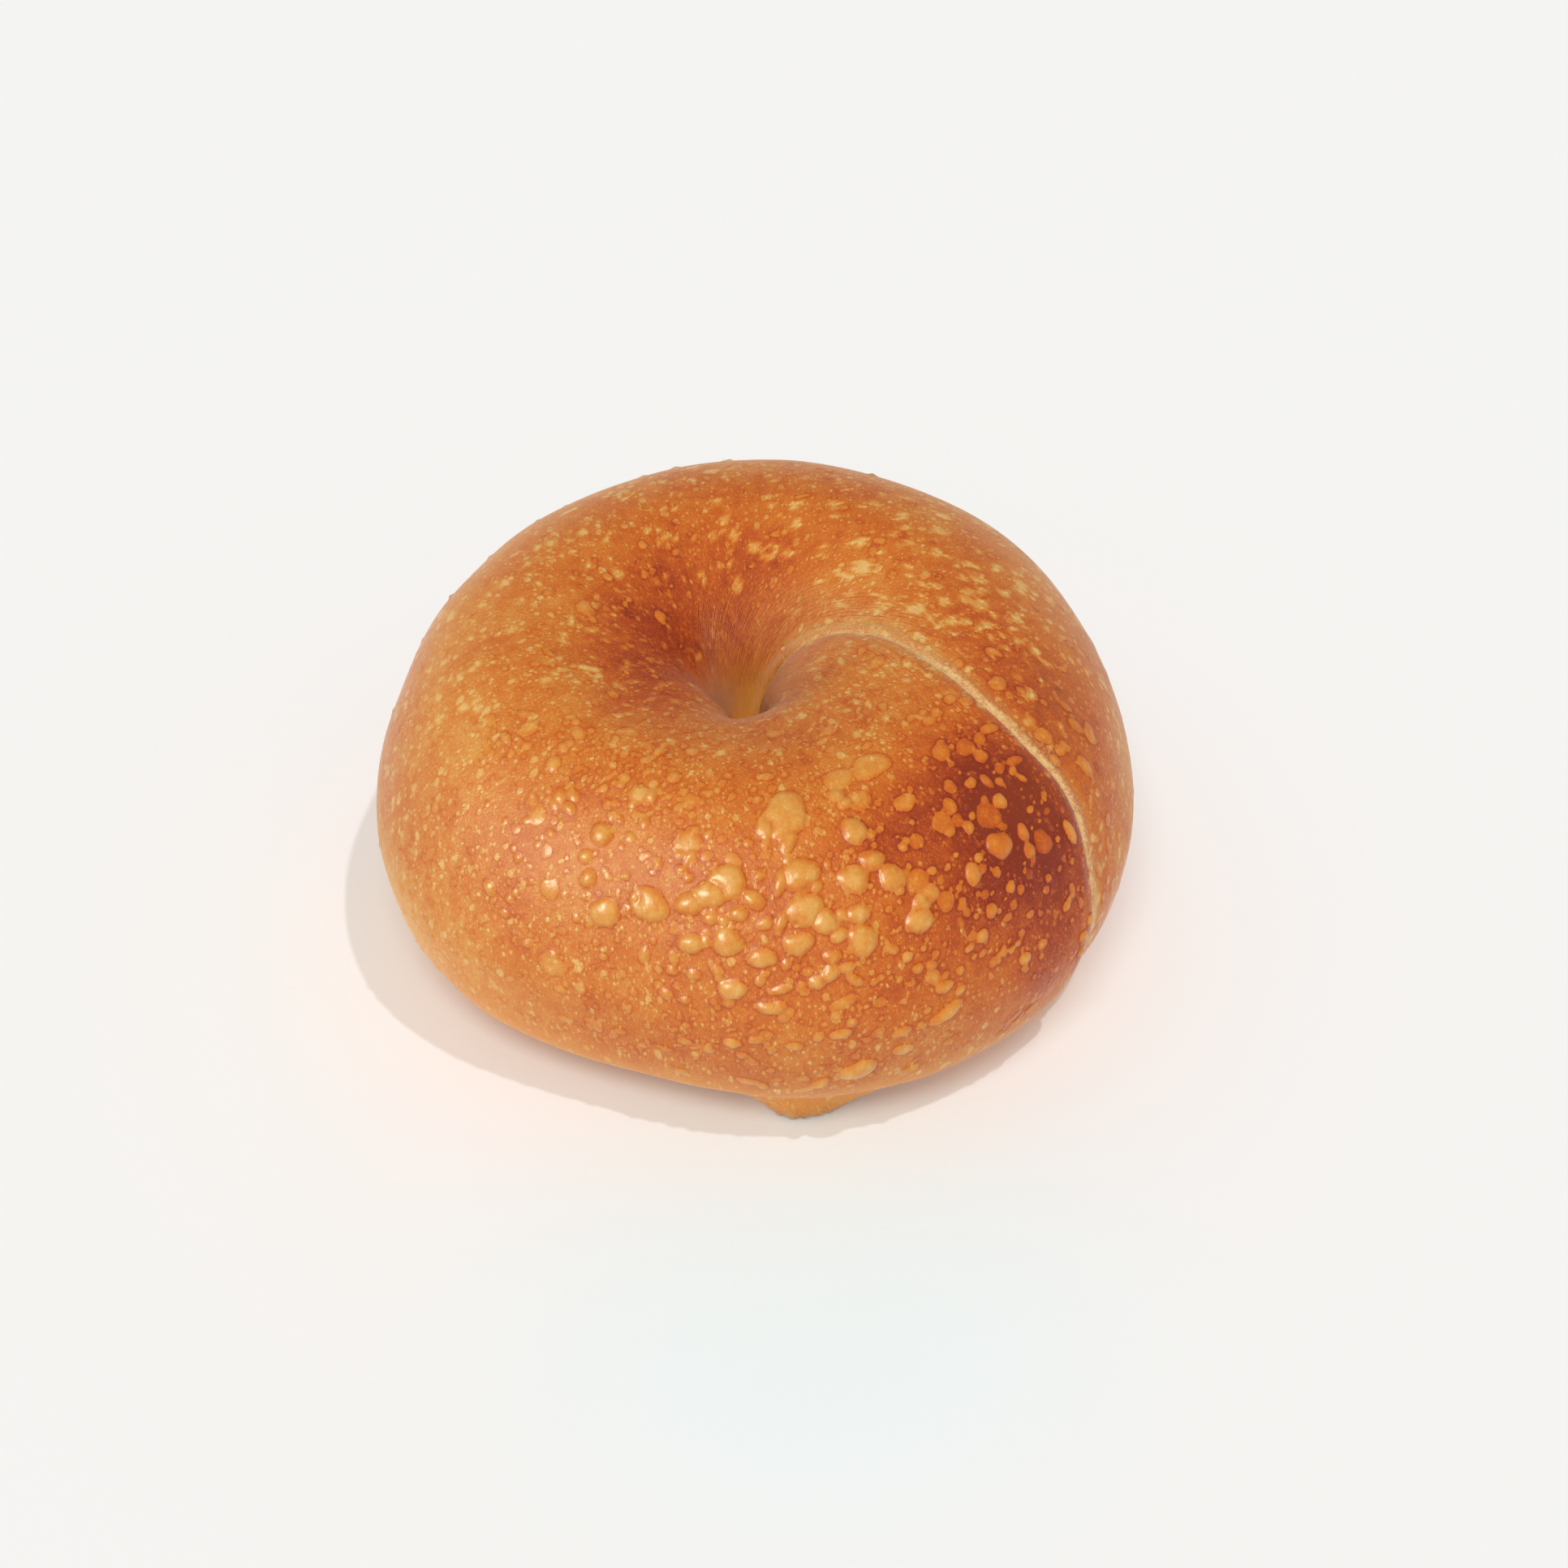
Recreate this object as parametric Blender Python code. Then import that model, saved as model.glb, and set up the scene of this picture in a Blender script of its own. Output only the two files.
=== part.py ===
"""A plump bagel, boiled and baked: one closed solid.

Metres, +Z up. The origin is on the surface that the bagel stands on, under the middle of its
box. A rope of dough was closed into a ring: its front end lies over its back end, and the
seam between them winds out of the hole, over the crown and down the side.

Two angles name every place on the crust. The azimuth runs round the ring, from +X towards +Y.
The turn runs round the dough rope: 0 degrees at the side, 90 on the crown, 180 in the throat
of the hole and 270 to 315 on the flat base.
"""

import math

import bpy
import numpy as np

# Driving dimensions, in metres.
BREADTH = 0.096
HEIGHT = 0.047
RADIUS = BREADTH / 2

# The section through the dough rope, one knot every 22.5 degrees of turn: how far out from the
# middle of the hole, as a share of RADIUS, and how high, as a share of HEIGHT.
SECTION = (
    (1.000, 0.430),
    (0.968, 0.650),
    (0.880, 0.830),
    (0.745, 0.950),
    (0.580, 1.000),
    (0.410, 0.972),
    (0.225, 0.880),
    (0.115, 0.730),
    (0.084, 0.550),
    (0.080, 0.370),
    (0.105, 0.190),
    (0.190, 0.055),
    (0.310, 0.000),
    (0.500, 0.000),
    (0.700, 0.000),
    (0.915, 0.150),
)
THROAT_REACH = 0.080

# The ring isn't quite round: waves round it, share of the radius, azimuth of a swelling.
SWELLINGS = (
    (2, 0.0205, -7.0),
    (3, 0.0220, -46.0),
    (4, 0.0100, 27.0),
    (5, 0.0076, -7.0),
    (6, 0.0056, -25.0),
)
# The hole's throat stands off the middle of the ring.
THROAT_X = -0.0018
THROAT_Y = 0.0015

# The seam's azimuth in degrees, and its strength, one knot every 22.5 degrees of turn.
SEAM = (
    (-33, 1.0),
    (-31, 1.0),
    (-29, 1.0),
    (-28, 1.0),
    (-23, 1.0),
    (-8, 1.0),
    (22, 1.4),
    (44, 1.4),
    (56, 0.7),
    (58, 0.3),
    (50, 0.0),
    (35, 0.0),
    (15, 0.0),
    (-8, 0.0),
    (-25, 0.0),
    (-34, 0.7),
)
# Across the seam: the front end's lip, then the valley that it presses into the back end.
SEAM_LIP = 0.0014
SEAM_LIP_RISE = 0.0018
SEAM_LIP_FADE = 0.010
SEAM_VALLEY = 0.0014
SEAM_VALLEY_FADE = 0.0045
# The rope's own radius, and the change of turn over which slopes are measured.
ROPE_RADIUS = 0.023
SLOPE_STEP = math.radians(2)

# A flap of dough squeezed out under the front edge of the base.
FLAP_AZIMUTH = -83.0
FLAP_LENGTH = 0.0052
FLAP_FLATTENING = 0.6
FLAP_SIDES = (7.0, 15.0)
FLAP_TURN = 319.0
FLAP_TURN_WIDTH = 9.0

# The mesh: columns round the ring, which crowd together at the seam, and rows round the rope.
COLUMNS = 80
ROWS = 40
CROWDING = 0.45

# The crust's finish: golden brown, with a satin gloss.
CRUST_COLOUR = (0.55, 0.20, 0.045, 1.0)
CRUST_ROUGHNESS = 0.42


def knots(values, turn):
    """A closed smooth curve through values that stand evenly round the rope, read at turns."""
    table = np.asarray(values, float)
    places = turn / math.tau * len(table)
    index = np.floor(places).astype(int)
    share = (places - index)[..., None]
    before, start, end, after = (table[(index + step) % len(table)] for step in (-1, 0, 1, 2))
    bend = 2 * before - 5 * start + 4 * end - after
    twist = 3 * start - before - 3 * end + after
    return np.moveaxis(start + 0.5 * share * (end - before + share * (bend + share * twist)), -1, 0)


def section(turn):
    """Reach and height of the plain rope at these turns, in metres, for a round ring."""
    reach, level = knots(SECTION, turn)
    return RADIUS * reach, HEIGHT * np.maximum(level, 0.0)


def section_normal(turn):
    """The rope's outward direction in its own section: away from the hole, and up."""
    reach_after, level_after = section(turn + SLOPE_STEP)
    reach_before, level_before = section(turn - SLOPE_STEP)
    out, up = level_after - level_before, reach_before - reach_after
    length = np.hypot(out, up)
    return out / length, up / length


def swelling(azimuth):
    """The ring's radius at these azimuths, as a share of RADIUS."""
    return 1 + sum(
        size * np.cos(waves * (azimuth - math.radians(bearing)))
        for waves, size, bearing in SWELLINGS
    )


def wrapped(angle):
    """The same angle within half a turn of zero."""
    return (angle + math.pi) % math.tau - math.pi


def seam_line(turn):
    """The seam's azimuth at these turns, in radians."""
    return np.radians(knots(SEAM, turn)[0])


def past_seam(azimuth, turn):
    """Distance from the seam in metres: below zero on the front end, above on the back end."""
    line = seam_line(turn)
    drift = (seam_line(turn + SLOPE_STEP) - seam_line(turn - SLOPE_STEP)) / (2 * SLOPE_STEP)
    reach = section(turn)[0]
    slant = np.hypot(1, reach * drift / ROPE_RADIUS)
    return wrapped(azimuth - line) * reach / slant


def seam_press(azimuth, turn):
    """How far the seam pushes the crust out, or in below zero, in metres."""
    strength = np.maximum(knots(SEAM, turn)[1], 0.0)
    distance = past_seam(azimuth, turn)
    front = np.minimum(distance, 0.0)
    edge = np.exp(front / SEAM_LIP_RISE)
    lip = SEAM_LIP * np.exp(front / SEAM_LIP_FADE) * (1 - edge) - SEAM_VALLEY * edge
    valley = -SEAM_VALLEY * np.exp(-((distance / SEAM_VALLEY_FADE) ** 2))
    return strength * np.where(distance < 0, lip, valley)


def flap(azimuth, turn):
    """How much of the flap stands here, from 0 to 1."""
    aside = np.degrees(wrapped(azimuth - math.radians(FLAP_AZIMUTH)))
    width = np.where(aside < 0, *FLAP_SIDES)
    along = np.degrees(wrapped(turn - math.radians(FLAP_TURN))) / FLAP_TURN_WIDTH
    return np.exp(-((aside / width) ** 2) - along**2)


def crust(azimuth, turn):
    """Places on the crust, in metres, before the bagel is set on its origin."""
    reach, height = section(turn)
    out, up = section_normal(turn)
    press = seam_press(azimuth, turn)
    ring_share = (reach / RADIUS - THROAT_REACH) / (1 - THROAT_REACH)
    flap_share = flap(azimuth, turn)
    radius = (
        reach * (1 + (swelling(azimuth) - 1) * ring_share)
        + out * press
        + FLAP_LENGTH * flap_share
    )
    return np.stack(
        (
            radius * np.cos(azimuth) + THROAT_X * (1 - ring_share),
            radius * np.sin(azimuth) + THROAT_Y * (1 - ring_share),
            (height + up * press) * (1 - FLAP_FLATTENING * flap_share),
        ),
        -1,
    )


def remove_everything():
    """Leave an empty scene."""
    for found in list(bpy.data.objects):
        bpy.data.objects.remove(found)


def crust_material():
    """The bagel's baked crust."""
    material = bpy.data.materials.new("crust")
    material.use_nodes = True
    shader = material.node_tree.nodes["Principled BSDF"]
    shader.inputs["Base Color"].default_value = CRUST_COLOUR
    shader.inputs["Roughness"].default_value = CRUST_ROUGHNESS
    shader.inputs["Metallic"].default_value = 0.0
    return material


def angles_of(mesh):
    """Each vertex's column angle round a torus of radius 1, and its turn round the tube."""
    flat = np.empty(len(mesh.vertices) * 3, dtype=np.float32)
    mesh.vertices.foreach_get("co", flat)
    x, y, z = flat.astype(float).reshape(-1, 3).T
    return np.arctan2(y, x), np.arctan2(z, np.hypot(x, y) - 1)


def make_bagel():
    """A torus whose vertices are moved to their places on the crust."""
    bpy.ops.mesh.primitive_torus_add(
        major_radius=1.0, minor_radius=0.5, major_segments=COLUMNS, minor_segments=ROWS
    )
    bagel = bpy.context.object
    bagel.name = "bagel"
    mesh = bagel.data
    column, turn = angles_of(mesh)
    spread = column - CROWDING * np.sin(column)
    azimuth = spread + seam_line(turn) * (1 + np.cos(spread)) / 2
    places = crust(azimuth, turn)
    middle = (places.min(axis=0) + places.max(axis=0)) / 2
    places -= (middle[0], middle[1], 0.0)
    mesh.vertices.foreach_set("co", places.astype(np.float32).ravel())
    mesh.update()
    mesh.shade_smooth()
    mesh.materials.clear()
    mesh.materials.append(crust_material())
    return bagel


def main():
    """Make the whole part."""
    remove_everything()
    make_bagel()


if __name__ == "__main__":
    main()
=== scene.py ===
"""The looks of a plump boiled and baked bagel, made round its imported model.

Metres, +Z up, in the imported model's frame: the origin is on the surface that the bagel stands
on, under the middle of its box. Two angles name every place on the crust. The azimuth runs
round the ring, from +X towards +Y. The turn runs round the rope of dough: 0 degrees at the
side, 90 on the crown, 180 in the throat of the hole and 270 to 315 on the flat base.
"""

import logging
import math
import random
from dataclasses import dataclass, field
from enum import Enum

import bpy
import numpy as np
from mathutils import Matrix, Vector, noise
from mathutils.kdtree import KDTree


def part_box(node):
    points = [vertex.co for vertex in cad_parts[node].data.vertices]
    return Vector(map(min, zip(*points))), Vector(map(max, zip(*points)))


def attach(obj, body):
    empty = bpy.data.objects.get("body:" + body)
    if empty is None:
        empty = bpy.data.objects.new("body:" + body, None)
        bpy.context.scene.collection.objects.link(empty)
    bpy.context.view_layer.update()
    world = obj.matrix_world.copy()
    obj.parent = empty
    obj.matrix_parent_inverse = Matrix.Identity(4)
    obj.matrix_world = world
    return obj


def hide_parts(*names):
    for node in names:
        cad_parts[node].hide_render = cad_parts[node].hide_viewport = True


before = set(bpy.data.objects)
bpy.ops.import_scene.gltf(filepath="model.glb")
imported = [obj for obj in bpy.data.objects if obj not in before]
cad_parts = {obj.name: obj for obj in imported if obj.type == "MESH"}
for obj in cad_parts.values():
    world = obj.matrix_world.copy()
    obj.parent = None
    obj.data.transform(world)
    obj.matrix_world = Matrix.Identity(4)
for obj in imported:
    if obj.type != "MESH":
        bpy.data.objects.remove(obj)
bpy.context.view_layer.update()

log = logging.getLogger("bagel")

MM = 0.001
SLOPE_STEP = math.radians(1)
Socket = bpy.types.NodeSocket
Feed = Socket | float | tuple


def wrapped(angle: np.ndarray) -> np.ndarray:
    """Bring angles in radians within half a turn of zero."""
    return (angle + math.pi) % math.tau - math.pi


def degrees_off(angle: np.ndarray, middle: float = 0.0) -> np.ndarray:
    """Measure how far angles in radians lie from one in degrees, in degrees."""
    return np.degrees(wrapped(angle - math.radians(middle)))


def ease(value: np.ndarray, low: float, high: float) -> np.ndarray:
    """Rise smoothly from 0 at low to 1 at high.

    Args:
        value: Numbers to read the rise at.
        low: Where the rise starts; it may lie above high.
        high: Where the rise ends.

    Returns:
        Shares from 0 to 1.
    """
    share = np.clip((value - low) / (high - low), 0.0, 1.0)
    return share * share * (3 - 2 * share)


def around_rope(values: tuple, turn: np.ndarray) -> np.ndarray:
    """Read a closed smooth curve through values that stand evenly round the rope.

    Args:
        values: One row for each even step of turn, from turn 0.
        turn: Turns in radians.

    Returns:
        One array for each column of values.
    """
    table = np.asarray(values, float)
    places = turn / math.tau * len(table)
    index = np.floor(places).astype(int)
    share = (places - index)[..., None]
    before, start, end, after = (table[(index + step) % len(table)] for step in (-1, 0, 1, 2))
    bend = 2 * before - 5 * start + 4 * end - after
    twist = 3 * start - before - 3 * end + after
    curve = start + 0.5 * share * (end - before + share * (bend + share * twist))
    return np.moveaxis(curve, -1, 0)


def deselect_all() -> None:
    """Leave object mode with nothing selected."""
    if bpy.context.object and bpy.context.object.mode != "OBJECT":
        bpy.ops.object.mode_set(mode="OBJECT")
    bpy.ops.object.select_all(action="DESELECT")


@dataclass(frozen=True)
class Rope:
    """The plain ring of dough: one section carried round the hole."""

    radius: float = 0.048
    height: float = 0.047
    throat_reach: float = 0.080
    throat_x: float = -0.0018
    throat_y: float = 0.0015
    rope_radius: float = 0.023
    section_knots: tuple = (
        (1.000, 0.430),
        (0.968, 0.650),
        (0.880, 0.830),
        (0.745, 0.950),
        (0.580, 1.000),
        (0.410, 0.972),
        (0.225, 0.880),
        (0.115, 0.730),
        (0.084, 0.550),
        (0.080, 0.370),
        (0.105, 0.190),
        (0.190, 0.055),
        (0.310, 0.000),
        (0.500, 0.000),
        (0.700, 0.000),
        (0.915, 0.150),
    )
    swellings: tuple = (
        (2, 0.0205, -7.0),
        (3, 0.0220, -46.0),
        (4, 0.0100, 27.0),
        (5, 0.0076, -7.0),
        (6, 0.0056, -25.0),
    )

    def section(self, turn: np.ndarray) -> tuple[np.ndarray, np.ndarray]:
        """Give the section's reach from the axis and its height.

        Args:
            turn: Turns in radians.

        Returns:
            Reach and height in metres.
        """
        reach, level = around_rope(self.section_knots, turn)
        return self.radius * reach, self.height * np.maximum(level, 0.0)

    def section_normal(self, turn: np.ndarray) -> tuple[np.ndarray, np.ndarray]:
        """Give the section's outward direction.

        Args:
            turn: Turns in radians.

        Returns:
            Its share away from the hole and its share upwards.
        """
        reach_after, level_after = self.section(turn + SLOPE_STEP)
        reach_before, level_before = self.section(turn - SLOPE_STEP)
        out, up = level_after - level_before, reach_before - reach_after
        length = np.hypot(out, up)
        return out / length, up / length

    def swelling(self, azimuth: np.ndarray) -> np.ndarray:
        """Give the ring's radius at these azimuths, as a share of its mean radius."""
        return 1 + sum(
            size * np.cos(waves * (azimuth - math.radians(bearing)))
            for waves, size, bearing in self.swellings
        )

    def place(
        self, azimuth: np.ndarray, turn: np.ndarray, rise: np.ndarray, spill: np.ndarray
    ) -> np.ndarray:
        """Find points on the crust.

        Args:
            azimuth: Azimuths in radians.
            turn: Turns in radians.
            rise: How far each point stands out along the section's normal, in metres.
            spill: How far each point is squeezed out level with the table, in metres.

        Returns:
            Points in metres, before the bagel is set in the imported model's box.
        """
        reach, height = self.section(turn)
        out, up = self.section_normal(turn)
        share = (reach / self.radius - self.throat_reach) / (1 - self.throat_reach)
        radius = reach * (1 + (self.swelling(azimuth) - 1) * share) + out * rise + spill
        return np.stack(
            (
                radius * np.cos(azimuth) + self.throat_x * (1 - share),
                radius * np.sin(azimuth) + self.throat_y * (1 - share),
                height + up * rise,
            ),
            -1,
        )


@dataclass(frozen=True)
class Seam:
    """The lapped joint: the rope's front end lies over its back end."""

    line_knots: tuple = (
        (-33, 1.0),
        (-31, 1.0),
        (-29, 1.0),
        (-28, 1.0),
        (-23, 1.0),
        (-8, 1.0),
        (22, 1.4),
        (44, 1.4),
        (56, 0.7),
        (58, 0.3),
        (50, 0.0),
        (35, 0.0),
        (15, 0.0),
        (-8, 0.0),
        (-25, 0.0),
        (-33, 0.7),
    )
    lip: float = 0.0014
    lip_rise: float = 0.0009
    lip_fade: float = 0.010
    valley: float = 0.0007
    valley_fade: float = 0.0030
    valley_power: float = 1.4
    ridge: float = 0.0004
    ridge_place: float = 0.0011
    ridge_width: float = 0.0007
    overlap: float = 0.0003
    overlap_place: float = -0.0006
    overlap_width: float = 0.0006
    fold: float = 0.0019
    fold_azimuth: float = 0.0
    fold_turn: float = 166.0
    fold_wide: float = 46.0
    fold_long: float = 22.0
    cheek: float = 0.0018
    cheek_azimuth: float = 214.0
    cheek_wide: float = 34.0
    scoop: float = 0.0011
    scoop_azimuth: float = 254.0
    scoop_wide: float = 28.0
    scoop_turn: float = 138.0
    scoop_long: float = 18.0

    def line(self, turn: np.ndarray) -> np.ndarray:
        """Give the seam's azimuth at these turns, in radians."""
        return np.radians(around_rope(self.line_knots, turn)[0])

    def strength(self, turn: np.ndarray) -> np.ndarray:
        """Give how deep the seam is at these turns, as a share of its depth on the crown."""
        return np.maximum(around_rope(self.line_knots, turn)[1], 0.0)

    def distance(self, rope: Rope, azimuth: np.ndarray, turn: np.ndarray) -> np.ndarray:
        """Measure the way to the seam along the crust.

        Args:
            rope: The ring that the seam crosses.
            azimuth: Azimuths in radians.
            turn: Turns in radians.

        Returns:
            Metres, below zero on the front end and above zero on the back end.
        """
        drift = (self.line(turn + SLOPE_STEP) - self.line(turn - SLOPE_STEP)) / (2 * SLOPE_STEP)
        reach = rope.section(turn)[0]
        slant = np.hypot(1, reach * drift / rope.rope_radius)
        return wrapped(azimuth - self.line(turn)) * reach / slant

    def press(self, distance: np.ndarray) -> np.ndarray:
        """Shape the lip, the valley behind it and the valley's far ridge.

        Args:
            distance: Metres past the seam.

        Returns:
            Metres that the crust stands out, or in below zero.
        """
        front = np.minimum(distance, 0.0)
        edge = np.exp(front / self.lip_rise)
        lip = self.lip * np.exp(front / self.lip_fade) * (1 - edge) - self.valley * edge
        depth = (np.abs(distance) / self.valley_fade) ** self.valley_power
        valley = -self.valley * np.exp(-depth)
        ridge = self.ridge * np.exp(-(((distance - self.ridge_place) / self.ridge_width) ** 2))
        return np.where(distance < 0, lip, valley) + ridge

    def tuck(self, distance: np.ndarray, azimuth: np.ndarray, turn: np.ndarray) -> np.ndarray:
        """Bulge the front end into the hole, and hollow the hole's near rim.

        Args:
            distance: Metres past the seam.
            azimuth: Azimuths in radians.
            turn: Turns in radians.

        Returns:
            Metres that the crust stands out.
        """
        aside = degrees_off(azimuth, self.fold_azimuth) / self.fold_wide
        along = degrees_off(turn, self.fold_turn) / self.fold_long
        front = 1 - np.exp(np.minimum(distance, 0.0) / self.lip_rise)
        facing = degrees_off(azimuth, self.cheek_azimuth) / self.cheek_wide
        bulge = self.fold * front * np.exp(-(aside**2)) + self.cheek * np.exp(-(facing**2))
        near = degrees_off(azimuth, self.scoop_azimuth) / self.scoop_wide
        down = degrees_off(turn, self.scoop_turn) / self.scoop_long
        return bulge * np.exp(-(along**2)) - self.scoop * np.exp(-(near**2) - down**2)

    def lean(self, distance: np.ndarray) -> np.ndarray:
        """Give how far the lip leans over the valley, in metres."""
        away = (distance - self.overlap_place) / self.overlap_width
        return self.overlap * np.exp(-(away**2))


@dataclass(frozen=True)
class Flap:
    """A flap of dough squeezed out under the front edge of the base."""

    azimuth: float = -83.0
    length: float = 0.0052
    left_side: float = 7.0
    right_side: float = 15.0
    turn: float = 319.0
    turn_width: float = 9.0
    flattening: float = 0.6
    crease: float = 0.0006
    crease_azimuth: float = -77.0
    crease_half: float = 19.0
    crease_turn: float = 334.0
    crease_width: float = 3.5

    def fold(self, azimuth: np.ndarray, turn: np.ndarray) -> np.ndarray:
        """Crease the crust above the flap.

        Args:
            azimuth: Azimuths in radians.
            turn: Turns in radians.

        Returns:
            Metres that the crust stands in.
        """
        aside = degrees_off(azimuth, self.crease_azimuth) / self.crease_half
        along = degrees_off(turn, self.crease_turn) / self.crease_width
        return self.crease * np.exp(-(aside**4) - along**2)

    def share(self, azimuth: np.ndarray, turn: np.ndarray) -> np.ndarray:
        """Give how much of the flap stands at these angles.

        Args:
            azimuth: Azimuths in radians.
            turn: Turns in radians.

        Returns:
            Shares from 0 to 1.
        """
        aside = degrees_off(azimuth, self.azimuth)
        width = np.where(aside < 0, self.left_side, self.right_side)
        along = degrees_off(turn, self.turn) / self.turn_width
        return np.exp(-((aside / width) ** 2) - along**2)


class Make(Enum):
    """What a blister is like: rise for its size, share of that in its steep edge, gold, rim."""

    DOME = (0.25, 0.30, 1.0, 0.0)
    PLATE = (0.06, 0.55, 0.75, 0.0)
    RING = (0.07, 0.55, 0.75, 0.05)
    SOFT = (0.02, 0.10, 0.75, 0.0)


@dataclass(frozen=True)
class Blister:
    """One bubble under the crust's skin: degrees, and millimetres across and along the rope."""

    azimuth: float
    turn: float
    across: float
    along: float
    tilt: float = 0.0
    make: Make = Make.DOME


DOMES = (
    (151, 129, 1.8, 1.6), (211, 71, 1.8, 1.2), (214, 111, 1.8, 1.2), (222.5, 80.5, 1.6, 1.2),
    (223.5, 74, 1.9, 2.2), (224, 29, 2, 2), (227.5, 23.5, 1.4, 1.2, 20), (229, 62, 1.8, 1.2),
    (229, 65, 1.6, 2, 20), (230, 16, 0.6, 1.6, 45), (231.5, 67, 1.8, 1.4), (232, 62.5, 2, 1.4),
    (236.5, 16, 1.8, 1.4), (238, 5, 1.8, 1.1), (238.5, 49.5, 1.8, 1.8), (239.5, 79, 1.4, 1.6),
    (240, 43, 2.2, 2.2), (240, 58, 2.8, 2.8), (244, 34, 4, 3.8), (244, 71.5, 1.2, 1.6, -30),
    (244.5, 75, 2.6, 2.4), (245.5, 59.5, 1.4, 1.2), (247, 76, 1.4, 2, 20),
    (247.5, -4.2, 1.8, 1.1), (247.5, 65.5, 1.2, 1.4, 20), (248, 36.5, 0.9, 1.6),
    (249.5, 41, 2.4, 2.4), (250.5, 85, 1.8, 1.6), (251.5, 24, 1.4, 2.6),
    (251.5, 40, 4.8, 4.4, -20), (252, 53.5, 1, 1.4, 20), (255, -5.7, 2.4, 1, -5),
    (255.5, 13.3, 2, 1.6, -20), (256.5, 25, 1.4, 1.2), (256.5, 53.5, 1.6, 1, -10),
    (257, 118.5, 1.8, 1.2), (258.5, -1.7, 2.2, 1.2), (258.5, 12.8, 1.7, 1.2),
    (258.5, 43.3, 3.4, 3), (259.2, 31.3, 3.2, 2.8), (259.8, 21.8, 1.9, 1.6),
    (262, -2.7, 2.4, 1.2, -10), (262.3, 40.3, 2, 1.8), (262.5, 48.3, 5, 3.6, 35),
    (264.5, 40.3, 1.4, 1.6), (265, 52.3, 4.6, 4.2), (265.2, 33.8, 4.2, 3.4, -15),
    (265.5, 14.8, 1.6, 1.3), (266, 1.3, 2.4, 1.9), (266, 19.3, 3.6, 3, -10),
    (267, 43, 2.4, 2, -20), (267.5, -2.7, 1.8, 1.3, 20), (269, -4.7, 2, 1.3, -20),
    (269.5, 47.8, 3.6, 1.9, -30), (269.8, 3.8, 2.2, 1.3), (270.7, 30.3, 3.8, 2.6, -15),
    (270.7, 55.5, 1.4, 1.6), (271.3, 40.8, 2.2, 1.6, 30), (272, 0.8, 1.4, 0.9),
    (272, 14.8, 4.6, 1.6, -5), (273, 72, 3.2, 3.2), (273.2, 16.3, 1.8, 1),
    (273.5, 20.8, 3.2, 1.3, 20), (273.5, 90.5, 2.2, 1.2), (274, 41.5, 1.6, 3.2, -20),
    (274.5, 28.8, 1.4, 1.6), (274.5, 54, 1.8, 3.6, -15), (275.3, 2.3, 2.2, 1.4),
    (276.5, 35, 3.6, 3.2), (276.5, 66.8, 2.2, 3, -20), (276.5, 75.5, 5.4, 6.4),
    (277, 20.3, 1.4, 1.2), (278, 45, 4.4, 4.4, 20), (278, 56, 4.6, 4), (279, 23.3, 2.2, 2, 45),
    (279.5, -11.7, 3, 1.8, 45), (281, 25.8, 2.6, 2.2, 30), (281, 41.5, 3.2, 3.6, 30),
    (281.5, 30.8, 2.4, 1.8), (282, 6.3, 3, 1.6, 15), (283, 37, 2.4, 2), (283, 58.5, 0.9, 1.4),
    (283.5, 27.3, 2.2, 1.5), (284.5, 23.3, 2.6, 1.4, -40), (285, -7.7, 5.6, 3.4, 35),
    (285.5, 50, 0.9, 1.3), (286.5, 34.5, 3.9, 3.9, -20), (286.5, 42.5, 3, 2.6),
    (287, 53, 4.2, 3.2, -20), (288.5, 80.5, 2.4, 1.6), (289.5, 67.5, 3, 3.6), (290, 77, 2.2, 1.6),
    (291, 3.8, 2.6, 1.8, 15), (291, 57.5, 3.2, 2.6, -20), (291.5, -3.2, 2.8, 2.2),
    (293, 18.5, 1.4, 0.9), (293.5, -11.7, 2.6, 1.4, 30), (293.5, 51, 3.2, 3.6, 20),
    (294, 3.8, 1.8, 1, 10), (296, 36.5, 3.6, 3.4, 20), (297, 41, 2.6, 2.6, 40),
    (298, -2.7, 1.6, 1, 10), (298, 5.8, 5, 2.2, 25), (298, 14.3, 2.6, 1.8, 10),
    (299, 43, 2.2, 2.6), (299.3, -5.7, 2.2, 1.2, 30), (300.5, 11.3, 1.8, 1.2, 20),
    (303, 22.8, 1.6, 1, 20), (305.5, 24.5, 2, 1.7), (307, 43, 2.2, 3), (308, 30.5, 1.8, 2),
    (309, 46.5, 1.2, 1.3), (311, 40, 1.2, 1.6), (312, 10.8, 1.9, 1.9), (313.5, 46.5, 3.6, 3.5),
    (315.5, 66.5, 1.6, 1.5), (318, 40, 1.7, 2.3), (318, 57, 1.8, 2.3), (318.5, 45.5, 1.6, 2.5),
    (318.5, 64, 1.2, 2.4, 10), (320.5, 61.5, 1.2, 1.3), (322, 49.5, 1.4, 0.9),
    (324.5, 58, 0.9, 1.7, 20), (326.5, 36, 1.5, 3.6),
)
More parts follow.
